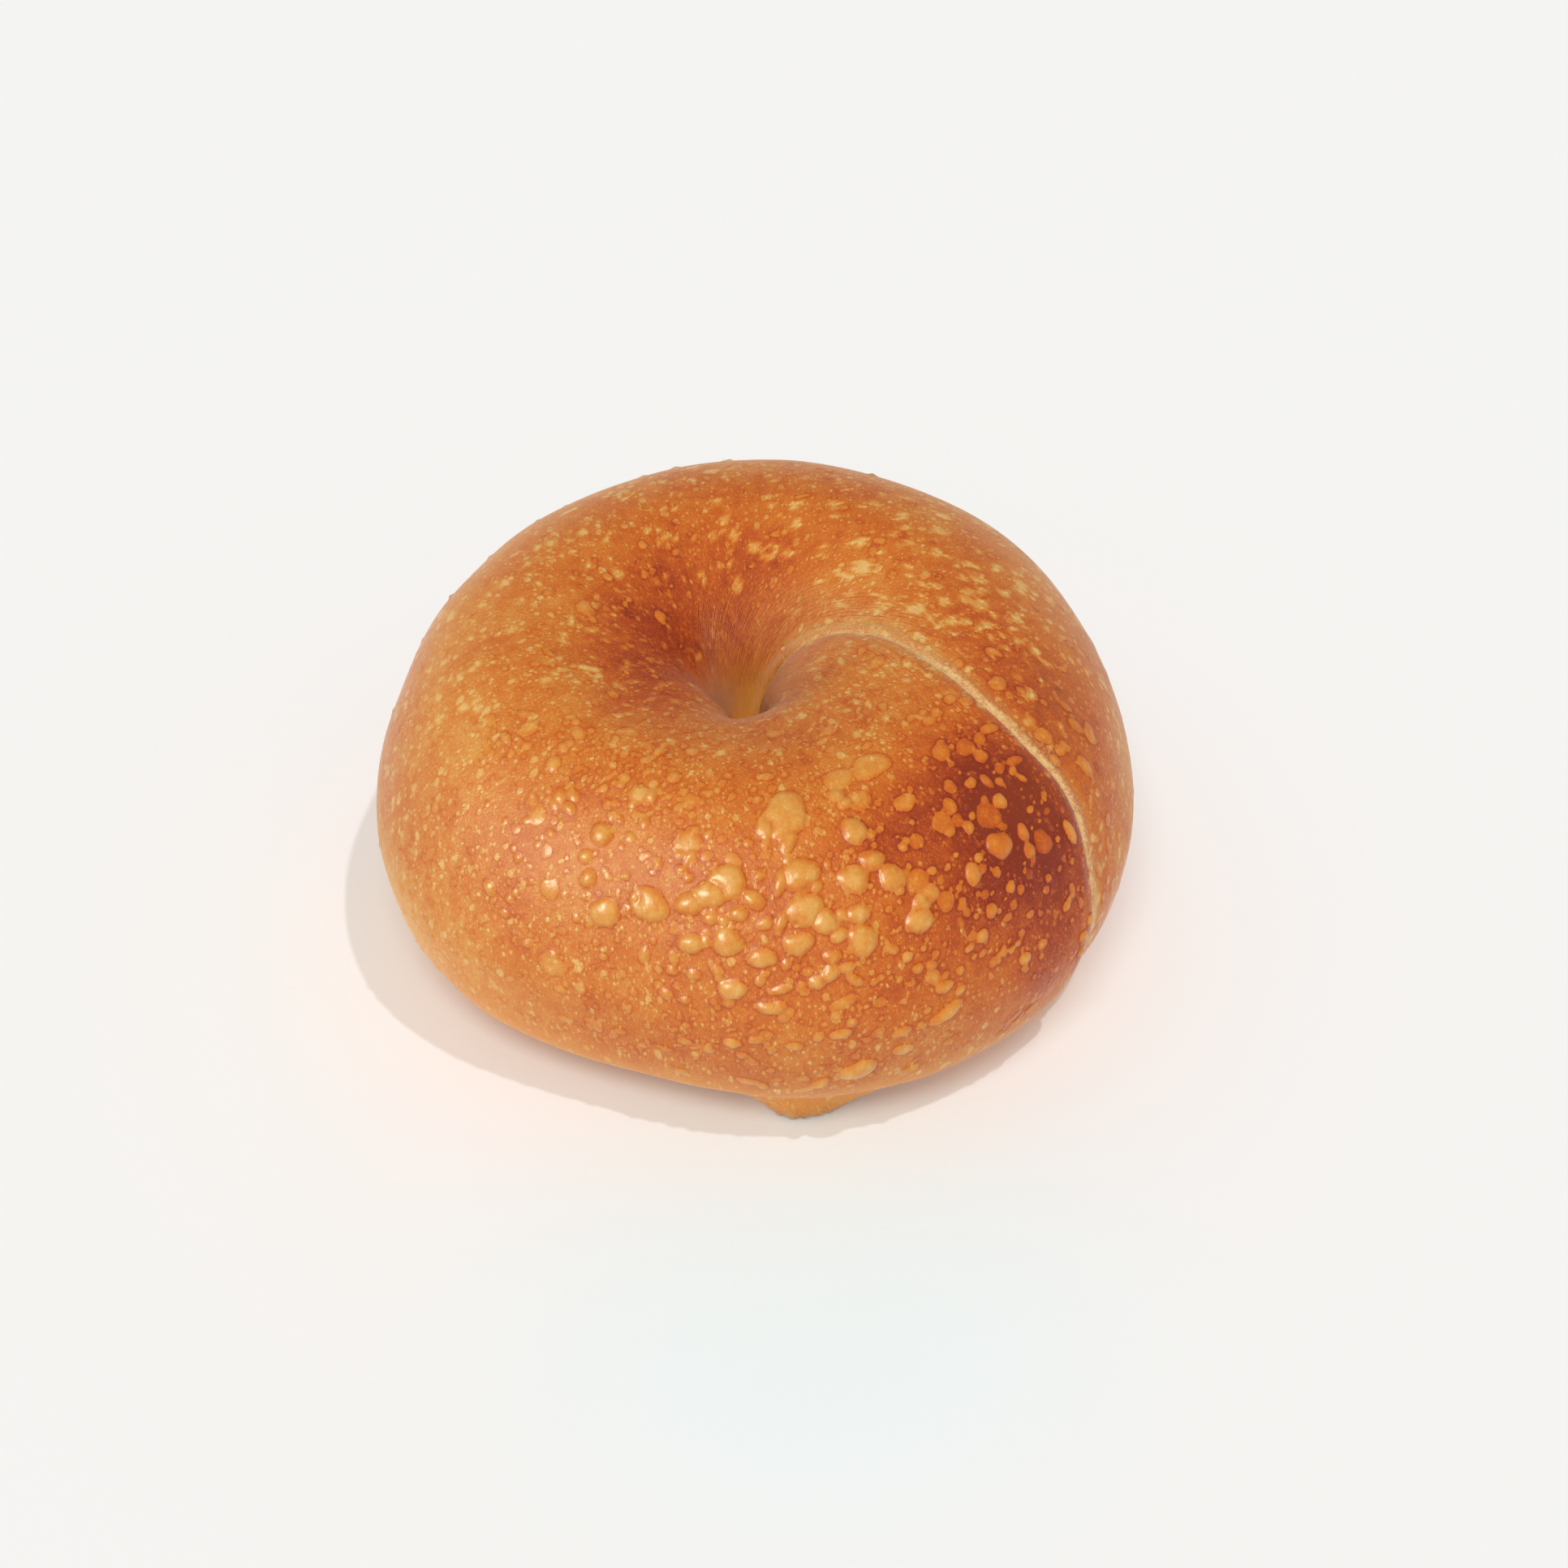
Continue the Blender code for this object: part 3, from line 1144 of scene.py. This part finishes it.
    def tone(self, nodes: Nodes, skin: Patterns) -> Socket:
        """Say how brown each spot is.

        Args:
            nodes: The material's nodes.
            skin: The crust's patterns.

        Returns:
            A socket from 0 for pale dough to 1 for dark brown.
        """
        specks = nodes.weigh(*((cover, -size.paling) for cover, _, size in skin.bubbles))
        browned = nodes.sum(
            nodes.read("tone"),
            nodes.weigh(*skin.clouds(self, "browning")),
            nodes.times(specks, nodes.read("crisp")),
            nodes.times(nodes.read("veil"), -self.veil_paling),
        )
        outside = nodes.maths("SUBTRACT", 1.0, skin.inside)
        # A darker ring round the foot of each blister.
        ring = nodes.times(nodes.ease(skin.edge, *self.ring_edge), outside)
        ringed = nodes.maths("MULTIPLY_ADD", ring, self.ring_darkening, browned)
        crown = nodes.ease(skin.edge, *self.blister_crown)
        under = nodes.sum(
            nodes.weigh((browned, self.blister_share), (crown, -self.blister_crown_paling)),
            nodes.weigh(*skin.clouds(self, "blister")),
            self.blister_tone,
        )
        return nodes.mix(nodes.times(skin.inside, nodes.read("gold")), ringed, under)

    def colour(self, nodes: Nodes, skin: Patterns, strip: Socket, pale: Socket) -> Socket:
        """Mix the crust's colour.

        Args:
            nodes: The material's nodes.
            skin: The crust's patterns.
            strip: The pale strip's cover.
            pale: How unbrowned the dough is, with painted light on the rims and on the throat's lit
                wall.

        Returns:
            The colour's socket.
        """
        ramp = nodes.add("ValToRGB", {0: self.tone(nodes, skin)})
        self.lay_ramp(ramp.color_ramp)
        stripped = nodes.blend(strip, ramp.outputs[0], self.strip)
        # Blends towards the crumb colour where the dough is unbrowned and where light is painted on.
        unbrowned_and_lit = nodes.times(pale, nodes.sum(skin.mottle, skin.grain, 1.0))
        doughy_and_lit = nodes.blend(unbrowned_and_lit, stripped, self.crumb_and_glow)
        tearing = nodes.times(nodes.read("flap"), self.flap_tearing)
        torn = nodes.ease(nodes.sum(skin.grain, skin.grain, skin.mottle, tearing), *self.flap_torn)
        return nodes.blend(nodes.times(torn, self.flap_cover), doughy_and_lit, self.flap_dough)

    def lay_ramp(self, ramp: bpy.types.ColorRamp) -> None:
        """Lay the browning colours on a new ramp.

        Args:
            ramp: The ramp, which starts with two colours.
        """
        while len(ramp.elements) < len(self.browning):
            ramp.elements.new(0.5)
        for element, (position, colour) in zip(ramp.elements, self.browning):
            element.position = position
            element.color = colour

    def gloss(self, nodes: Nodes, skin: Patterns, strip: Socket, pale: Socket) -> Socket:
        """Mix the crust's roughness: satin skin, glossier blisters, matt dough.

        Args:
            nodes: The material's nodes.
            skin: The crust's patterns.
            strip: The pale strip's cover.
            pale: How unbrowned the dough is, with painted light on the rims and on the throat's lit
                wall.

        Returns:
            The roughness's socket.
        """
        matt = nodes.maths("MAXIMUM", strip, pale)
        uneven = nodes.weigh((skin.mottle, self.mottled_gloss), (matt, self.matt_dough))
        glossy = nodes.maths("MAXIMUM", skin.inside, skin.bubbles[1][0])
        satin = nodes.sum(self.roughness, uneven)
        return nodes.mix(nodes.times(glossy, self.blister_gloss), satin, self.blister_roughness)

    def relief(self, nodes: Nodes, skin: Patterns, strip: Socket) -> Socket:
        """Raise the crust's finest relief, which calms down on the blisters.

        Args:
            nodes: The material's nodes.
            skin: The crust's patterns.
            strip: The pale strip's cover.

        Returns:
            The bumped normal's socket.
        """
        rough_relief = nodes.weigh(
            *((dome, size.relief) for _, dome, size in skin.bubbles),
            *skin.clouds(self, "relief"),
            (nodes.times(strip, skin.grain), self.strip_relief),
            (nodes.times(nodes.read("flap"), skin.grain), self.flap_relief),
        )
        calm = nodes.maths("MULTIPLY_ADD", skin.inside, -self.blister_calm, 1.0)
        feeds = {"Height": nodes.times(rough_relief, calm)}
        feeds |= {"Distance": MM, "Strength": self.bump}
        return nodes.add("Bump", feeds).outputs[0]

    def seam_strip(self, nodes: Nodes, skin: Patterns) -> Socket:
        """Mark the pale ragged strip along the seam, and its stippled skirt behind.

        Args:
            nodes: The material's nodes.
            skin: The crust's patterns.

        Returns:
            A socket for the strip's cover.
        """
        seam = nodes.read("seam")
        mottle, grain, streak = skin.mottle, skin.grain, skin.streak
        frayed = nodes.weigh(*zip((mottle, grain, streak), self.strip_raggedness))
        ragged = nodes.sum(seam, frayed)
        across = nodes.times(
            nodes.ease(ragged, *self.strip_near), nodes.ease(ragged, *self.strip_far)
        )
        core = nodes.times(across, nodes.ease(nodes.sum(mottle, grain, streak), *self.strip_wear))
        behind = nodes.sum(seam, nodes.times(mottle, self.skirt_wander))
        skirt = nodes.times(
            nodes.ease(ragged, *self.skirt_near), nodes.ease(behind, *self.skirt_far)
        )
        dots = nodes.ease(nodes.sum(grain, grain, mottle, streak), *self.skirt_dots)
        stipple = nodes.times(nodes.times(skirt, dots), self.skirt_cover)
        present = nodes.ease(skin.drawn, *self.strip_reach)
        return nodes.times(nodes.maths("MAXIMUM", core, stipple), present)


@dataclass(frozen=True)
class Stretch:
    """A stretch of crust, all in degrees, whose faces are split to one level."""

    level: int
    turns: tuple[float, float]
    azimuths: tuple[float, float] = (-1, 361)
    beside_seam: float = math.inf

    def holds(self, around: np.ndarray, up: np.ndarray, past: np.ndarray) -> np.ndarray:
        """Say which faces lie in the stretch.

        Args:
            around: Azimuths in degrees.
            up: Turns in degrees.
            past: Millimetres past the seam.

        Returns:
            True for each face inside.
        """
        turned = (up > self.turns[0]) & (up < self.turns[1])
        around_it = (around > self.azimuths[0]) & (around < self.azimuths[1])
        return turned & around_it & (np.abs(past) < self.beside_seam)


@dataclass
class BagelCrust:
    """The whole bagel's skin, from a plain ring of dough to its baked crust."""

    rope: Rope = field(default_factory=Rope)
    seam: Seam = field(default_factory=Seam)
    flap: Flap = field(default_factory=Flap)
    bake: Bake = field(default_factory=Bake)
    blistering: Blistering = field(default_factory=Blistering)
    finish: CrustFinish = field(default_factory=CrustFinish)
    ring_radius: float = 0.030
    dough_radius: float = 0.018
    columns: int = 110
    rows: int = 50
    crowding: float = 0.20
    lump_size: float = 0.011
    lump_rise: float = 0.00025
    lump_hold: tuple = (-48, -30)
    crumple_size: float = 0.0012
    crumple_rise: float = 0.0005
    crumple_from: float = 0.05
    crumple_fall: float = 1.0
    crumple_ratio: float = 2.0
    crumple_layers: int = 3
    plain_level: int = 2
    stretches: tuple = (
        Stretch(1, (-181, -34)),
        Stretch(1, (152, 181)),
        Stretch(0, (-181, -62)),
        Stretch(0, (172, 181)),
        Stretch(3, (-22, 96), azimuths=(205, 330)),
        Stretch(3, (-22, 150), beside_seam=3.2),
        Stretch(3, (-56, -26), azimuths=(261, 299)),
    )
    seam_turns: tuple = (-50, 170)
    no_seam: float = 8.0
    strip_narrows: tuple = (70, 125)
    strip_narrowing: float = 0.6
    strip_ends: tuple = (150, 172)
    strip_end_shift: float = 4.0
    strand_scale: tuple = (24.0, 2.6)
    drawn_reach: float = 7.0
    drawn_turns: tuple = (-40, -20)
    funnel_turns: tuple = (118, 140)
    funnel_sides: tuple = (2.3, 1.5)
    stretched_paling: float = 0.15
    stretched_place: float = 1.6
    stretched_width: float = 1.7
    stretched_turns: tuple = (-30, -10)

    def build(self) -> bpy.types.Object:
        """Model and dress the bagel.

        Returns:
            The finished piece.
        """
        piece = self.roll_ring()
        self.refine(piece)
        skin = self.shape(piece)
        piece.data.materials.clear()
        piece.data.materials.append(self.finish.material())
        self.store(piece, skin)
        return piece

    def roll_ring(self) -> bpy.types.Object:
        """Add the plain ring of dough, in the size that it was rolled to.

        Returns:
            The ring.
        """
        deselect_all()
        bpy.ops.mesh.primitive_torus_add(
            major_radius=self.ring_radius,
            minor_radius=self.dough_radius,
            major_segments=self.columns,
            minor_segments=self.rows,
        )
        piece = bpy.context.object
        piece.name = "bagel_crust"
        piece.data.name = "bagel_crust"
        return piece

    def angles(self, points: np.ndarray) -> tuple[np.ndarray, np.ndarray]:
        """Read azimuth and turn off points of the plain ring.

        Args:
            points: Points in metres.

        Returns:
            Azimuths and turns in radians. The ring's first column follows the seam.
        """
        x, y, z = points.T
        column = np.arctan2(y, x)
        turn = np.arctan2(z, np.hypot(x, y) - self.ring_radius)
        spread = column - self.crowding * np.sin(column)
        azimuth = spread + self.seam.line(turn) * (1 + np.cos(spread)) / 2
        return azimuth, turn

    def refine(self, piece: bpy.types.Object) -> None:
        """Subdivide the ring where its crust has detail.

        Args:
            piece: The ring.
        """
        for level in (1, 2, 3):
            mesh = piece.data
            points = np.empty(len(mesh.vertices) * 3, dtype=np.float32)
            mesh.vertices.foreach_get("co", points)
            middles = np.empty(len(mesh.polygons) * 3, dtype=np.float32)
            mesh.polygons.foreach_get("center", middles)
            wanted = self.detail(middles.reshape(-1, 3).astype(float)) >= level
            mesh.vertices.foreach_set("select", np.zeros(len(mesh.vertices), dtype=bool))
            mesh.edges.foreach_set("select", np.zeros(len(mesh.edges), dtype=bool))
            mesh.polygons.foreach_set("select", wanted)
            bpy.ops.object.mode_set(mode="EDIT")
            bpy.ops.mesh.select_mode(type="FACE")
            bpy.ops.mesh.subdivide(number_cuts=1)
            bpy.ops.object.mode_set(mode="OBJECT")

    def detail(self, points: np.ndarray) -> np.ndarray:
        """Say how often a face is split in two each way.

        Args:
            points: The faces' middles on the plain ring.

        Returns:
            Levels from 0 to 3.
        """
        azimuth, turn = self.angles(points)
        around, up = np.degrees(azimuth) % 360, degrees_off(turn)
        past = self.seam.distance(self.rope, azimuth, turn) / MM
        levels = np.full(len(points), self.plain_level)
        for stretch in self.stretches:
            levels[stretch.holds(around, up, past)] = stretch.level
        return levels

    def shape(self, piece: bpy.types.Object) -> CrustSkin:
        """Move every vertex from the plain ring to its place on the baked crust.

        Args:
            piece: The refined ring.

        Returns:
            The crust's arrays.
        """
        mesh = piece.data
        flat = np.empty(len(mesh.vertices) * 3, dtype=np.float32)
        mesh.vertices.foreach_get("co", flat)
        azimuth, turn = self.angles(flat.astype(float).reshape(-1, 3))
        places = self.place(azimuth, turn)
        beside = self.place(azimuth + SLOPE_STEP, turn) - self.place(azimuth - SLOPE_STEP, turn)
        above = self.place(azimuth, turn + SLOPE_STEP) - self.place(azimuth, turn - SLOPE_STEP)
        normals = np.cross(beside, above)
        normals /= np.linalg.norm(normals, axis=1)[:, None]
        skin = CrustSkin(azimuth, turn, places)
        count = self.blistering.raise_on(skin, self.rope)
        log.info("%d blisters", count)
        out = skin.rises(self.blistering.edge) * MM + self.lumps(places, turn)
        out += self.crumple(places, self.flap.share(azimuth, turn))
        finished = places + normals * out[:, None]
        finished[:, 2] = np.maximum(finished[:, 2], 0.0)
        low, high = places.min(axis=0), places.max(axis=0)
        box_low, box_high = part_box("bagel")
        finished[:, 0] += (box_low[0] + box_high[0] - low[0] - high[0]) / 2
        finished[:, 1] += (box_low[1] + box_high[1] - low[1] - high[1]) / 2
        mesh.vertices.foreach_set("co", finished.astype(np.float32).ravel())
        mesh.update()
        mesh.shade_smooth()
        return skin

    def place(self, azimuth: np.ndarray, turn: np.ndarray) -> np.ndarray:
        """Find places on the crust with its seam and flap but no blisters.

        Args:
            azimuth: Azimuths in radians.
            turn: Turns in radians.

        Returns:
            Points in metres.
        """
        strength = self.seam.strength(turn)
        distance = self.seam.distance(self.rope, azimuth, turn)
        rise = strength * self.seam.press(distance)
        rise += self.seam.tuck(distance, azimuth, turn) - self.flap.fold(azimuth, turn)
        reach = self.rope.section(turn)[0]
        leant = azimuth + np.minimum(strength, 1) * self.seam.lean(distance) / reach
        share = self.flap.share(azimuth, turn)
        points = self.rope.place(leant, turn, rise, self.flap.length * share)
        points[..., 2] *= 1 - self.flap.flattening * share
        return points

    def lumps(self, places: np.ndarray, turn: np.ndarray) -> np.ndarray:
        """Give the crust's soft unevenness, which stops at the flat base.

        Args:
            places: Points in metres.
            turn: Their turns in radians.

        Returns:
            Metres out from the crust.
        """
        hold = ease(degrees_off(turn), *self.lump_hold)
        values = [noise.noise(Vector(place) / self.lump_size) for place in places]
        return self.lump_rise * np.array(values) * hold

    def crumple(self, places: np.ndarray, share: np.ndarray) -> np.ndarray:
        """Roughen the flap's torn dough.

        Args:
            places: Points in metres.
            share: How much of the flap stands at each.

        Returns:
            Metres out from the crust.
        """
        rise = np.zeros(len(places))
        layers = self.crumple_fall, self.crumple_ratio, self.crumple_layers
        for index in np.flatnonzero(share > self.crumple_from):
            point = Vector(places[index]) / self.crumple_size
            rise[index] = noise.fractal(point, *layers) * share[index]
        return self.crumple_rise * rise

    def store(self, piece: bpy.types.Object, skin: CrustSkin) -> None:
        """Keep on the mesh what the crust's material reads.

        Args:
            piece: The crust.
            skin: Its arrays.
        """
        mesh = piece.data
        distance = self.seam.distance(self.rope, skin.azimuth, skin.turn) / MM
        up = degrees_off(skin.turn)
        aside = wrapped(skin.azimuth - self.seam.line(skin.turn))
        tube = self.ring_radius + self.dough_radius * np.cos(skin.turn)
        round_hole = tube * np.cos(skin.azimuth), tube * np.sin(skin.azimuth)
        dough = np.stack((*round_hole, self.dough_radius * np.sin(skin.turn)), -1)
        wide, long = self.strand_scale
        strand = np.stack((aside * wide, skin.turn * long, np.zeros(len(aside))), -1)
        beside = np.exp(-((distance / self.drawn_reach) ** 2)) * ease(up, *self.drawn_turns)
        funnel = ease(up, *self.funnel_turns) * ease(np.abs(aside), *self.funnel_sides)
        behind = (distance - self.stretched_place) / self.stretched_width
        stretched = self.stretched_paling * np.exp(-(behind**2)) * ease(up, *self.stretched_turns)
        for name, values in (
            ("crisp", self.bake.crispness(skin.azimuth, skin.turn)),
            ("drawn", np.clip(beside + funnel, 0, 1)),
            ("tone", self.bake.tone(skin.azimuth, skin.turn) - stretched),
            ("pale", self.bake.paleness_and_painted_light(skin.azimuth, skin.turn)),
            ("blister", skin.blister),
            ("gold", skin.gold),
            ("veil", skin.veil),
            ("seam", self.past_strip(distance, up)),
            ("flap", self.flap.share(skin.azimuth, skin.turn)),
        ):
            attribute = mesh.attributes.new(name, "FLOAT", "POINT")
            attribute.data.foreach_set("value", values.astype(np.float32))
        for name, vectors in (("dough", dough), ("strand", strand)):
            attribute = mesh.attributes.new(name, "FLOAT_VECTOR", "POINT")
            attribute.data.foreach_set("vector", vectors.astype(np.float32).ravel())

    def past_strip(self, distance: np.ndarray, up: np.ndarray) -> np.ndarray:
        """Measure the way past the seam, as the pale strip along it reads it.

        Args:
            distance: Millimetres past the seam.
            up: Turns in degrees.

        Returns:
            Millimetres, stretched on the crown and moved off in the throat and on the base.
        """
        low, high = self.seam_turns
        past = np.where((up > low) & (up < high), distance, self.no_seam)
        past *= 1 + self.strip_narrowing * ease(up, *self.strip_narrows) * (distance > 0)
        past += self.strip_end_shift * ease(up, *self.strip_ends) * (distance > 0)
        return np.clip(past, -self.no_seam, self.no_seam)


@dataclass(frozen=True)
class TableFinish:
    """A plain pale table top, slightly uneven, and cooler where the bagel's warm light falls."""

    name: str = "pale_table"
    colour: tuple = (0.90, 0.88, 0.862, 1)
    shade: tuple = (0.89, 0.868, 0.848, 1)
    cool: tuple = (0.825, 0.88, 0.872, 1)
    cool_place: tuple = (0.006, -0.066, 0.0)
    cool_reach: tuple = (0.060, 0.008)
    unevenness: float = 6.0
    layers: float = 2.0
    roughness: float = 0.75

    def material(self) -> bpy.types.Material:
        """Build the table's material.

        Returns:
            A material that reads Object coordinates.
        """
        material = bpy.data.materials.new(self.name)
        material.use_nodes = True
        nodes = Nodes(material)
        place = nodes.add("TexCoord", {}).outputs["Object"]
        feeds = {"Vector": place, "Scale": self.unevenness, "Detail": self.layers}
        uneven = nodes.add("TexNoise", feeds).outputs[0]
        plain = nodes.blend(uneven, self.colour, self.shade)
        feeds = {0: place, 1: self.cool_place}
        away = nodes.add("VectorMath", feeds, operation="DISTANCE").outputs["Value"]
        spot = nodes.ease(away, *self.cool_reach)
        nodes.feed(nodes.shader.inputs["Base Color"], nodes.blend(spot, plain, self.cool))
        nodes.feed(nodes.shader.inputs["Roughness"], self.roughness)
        return material


def way_to(bearing: float, elevation: float) -> Vector:
    """Give the unit vector towards a lamp.

    Args:
        bearing: Its azimuth in degrees.
        elevation: Its height above the table in degrees.

    Returns:
        The vector.
    """
    level = math.cos(math.radians(elevation))
    across, along = math.cos(math.radians(bearing)), math.sin(math.radians(bearing))
    return Vector((across * level, along * level, math.sin(math.radians(elevation))))


def light_only(lamp: bpy.types.Object, piece: bpy.types.Object) -> None:
    """Let a lamp light one piece and nothing else.

    Args:
        lamp: The lamp.
        piece: The piece that it lights.
    """
    lit = bpy.data.collections.new("lit_by_" + lamp.name)
    lit.objects.link(piece)
    lamp.light_linking.receiver_collection = lit


@dataclass(frozen=True)
class Sun:
    """Light from one far-off side: degrees, and watts to a square metre."""

    name: str
    bearing: float
    elevation: float
    energy: float
    colour: tuple[float, float, float]
    angle: float

    def hang(
        self, piece: bpy.types.Object | None = None, blocker: bpy.types.Object | None = None
    ) -> None:
        """Hang the sun.

        Args:
            piece: The only piece that it lights, or None if it lights everything.
            blocker: The only piece that casts its shadows, or None if everything does.
        """
        deselect_all()
        bpy.ops.object.light_add(type="SUN")
        sun = bpy.context.object
        sun.name = self.name
        sun.data.energy = self.energy
        sun.data.color = self.colour
        sun.data.angle = math.radians(self.angle)
        way = way_to(self.bearing, self.elevation)
        sun.rotation_euler = way.to_track_quat("Z", "Y").to_euler()
        sun.visible_glossy = False
        if piece:
            light_only(sun, piece)
        if blocker:
            shading = bpy.data.collections.new("shading_" + self.name)
            shading.objects.link(blocker)
            sun.light_linking.blocker_collection = shading


@dataclass(frozen=True)
class Softbox:
    """One rectangular lamp that faces the bagel: degrees, metres and watts."""

    name: str
    bearing: float
    elevation: float
    distance: float
    size: tuple[float, float]
    energy: float
    colour: tuple[float, float, float]
    shines: bool = True
    glints: bool = True

    def hang(self, crust: bpy.types.Object | None = None) -> None:
        """Hang the lamp.

        Args:
            crust: The only piece that it lights, or None if it lights everything.
        """
        way = way_to(self.bearing, self.elevation)
        deselect_all()
        bpy.ops.object.light_add(type="AREA", location=way * self.distance)
        lamp = bpy.context.object
        lamp.name = self.name
        lamp.data.shape = "RECTANGLE"
        lamp.data.size, lamp.data.size_y = self.size
        lamp.data.energy = self.energy
        lamp.data.color = self.colour
        lamp.rotation_euler = way.to_track_quat("Z", "Y").to_euler()
        lamp.visible_diffuse = self.shines
        lamp.visible_glossy = self.glints
        if crust:
            light_only(lamp, crust)


@dataclass
class Studio:
    """The table, the light and the camera."""

    table_size: float = 4.0
    sky_colour: tuple = (1.0, 0.985, 0.965, 1)
    sky_strength: float = 0.44
    sun: Sun = Sun(
        "sun", bearing=-41.0, elevation=71.7, energy=0.70, colour=(0.95, 0.97, 1.03), angle=1.6
    )
    table_fill: Sun = Sun(
        "table_fill", bearing=-98.0, elevation=60.0, energy=1.04, colour=(0.865, 0.98, 1.0), angle=20.0
    )
    table_wash: Sun = Sun(
        "table_wash", bearing=-98.0, elevation=60.0, energy=0.55, colour=(1.0, 0.945, 0.91), angle=20.0
    )
    front: Softbox = Softbox(
        "front",
        bearing=-98,
        elevation=50,
        distance=1.4,
        size=(0.9, 0.9),
        energy=6.9,
        colour=(1, 0.98, 0.96),
        glints=False,
    )
    window: Softbox = Softbox(
        "window",
        bearing=-152,
        elevation=25,
        distance=1.4,
        size=(0.9, 0.7),
        energy=3.6,
        colour=(1, 0.97, 0.95),
        glints=False,
    )
    glint: Softbox = Softbox(
        "glint",
        bearing=-137,
        elevation=27,
        distance=1.4,
        size=(0.5, 0.5),
        energy=31.0,
        colour=(0.92, 1.0, 0.80),
        shines=False,
    )
    elevation: float = 44.0
    distance: float = 0.55
    aim: tuple = (0.0005, -0.0002, 0.0225)
    aside: float = 0.00312
    above: float = -0.00166
    lens: float = 97.33
    sensor: float = 36.0
    nearest: float = 0.01

    def build(self, crust: bpy.types.Object) -> bpy.types.Object:
        """Set up the studio.

        Args:
            crust: The bagel's crust, which the side lamps light.

        Returns:
            The table top.
        """
        table = self.lay_table()
        self.light_sky()
        self.sun.hang()
        self.table_fill.hang(table)
        self.table_wash.hang(table, table)
        self.front.hang(crust)
        self.window.hang(crust)
        self.glint.hang(crust)
        self.hang_camera()
        return table

    def lay_table(self) -> bpy.types.Object:
        """Lay the table top under the bagel.

        Returns:
            The table top.
        """
        deselect_all()
        bpy.ops.mesh.primitive_plane_add(size=self.table_size)
        table = bpy.context.object
        table.name = "table_top"
        table.data.materials.append(TableFinish().material())
        return table

    def light_sky(self) -> None:
        """Make the soft sky."""
        world = bpy.data.worlds.new("sky")
        bpy.context.scene.world = world
        world.use_nodes = True
        background = world.node_tree.nodes["Background"]
        background.inputs["Color"].default_value = self.sky_colour
        background.inputs["Strength"].default_value = self.sky_strength

    def hang_camera(self) -> None:
        """Hang the camera in front of the bagel, looking down on it."""
        rise = math.radians(self.elevation)
        look = Vector((0, math.cos(rise), -math.sin(rise)))
        up = Vector((0, math.sin(rise), math.cos(rise)))
        right = look.cross(up)
        eye = Vector(self.aim) - look * self.distance + right * self.aside + up * self.above
        deselect_all()
        bpy.ops.object.camera_add()
        camera = bpy.context.object
        camera.name = "camera"
        camera.data.lens = self.lens
        camera.data.sensor_width = self.sensor
        camera.data.clip_start = self.nearest
        facing = look.to_track_quat("-Z", "Y").to_matrix().to_4x4()
        camera.matrix_world = Matrix.Translation(eye) @ facing
        bpy.context.scene.camera = camera
        bpy.context.scene.view_settings.view_transform = "Standard"


def main() -> None:
    """Build the bagel and its studio."""
    logging.basicConfig(level=logging.INFO, format="%(name)s: %(message)s")
    crust = BagelCrust().build()
    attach(crust, "root")
    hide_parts("bagel")
    crust.data.calc_loop_triangles()
    log.info("%s: %d triangles", crust.name, len(crust.data.loop_triangles))
    table = Studio().build(crust)
    log.info("%s: laid", table.name)


if __name__ == "__main__":
    main()
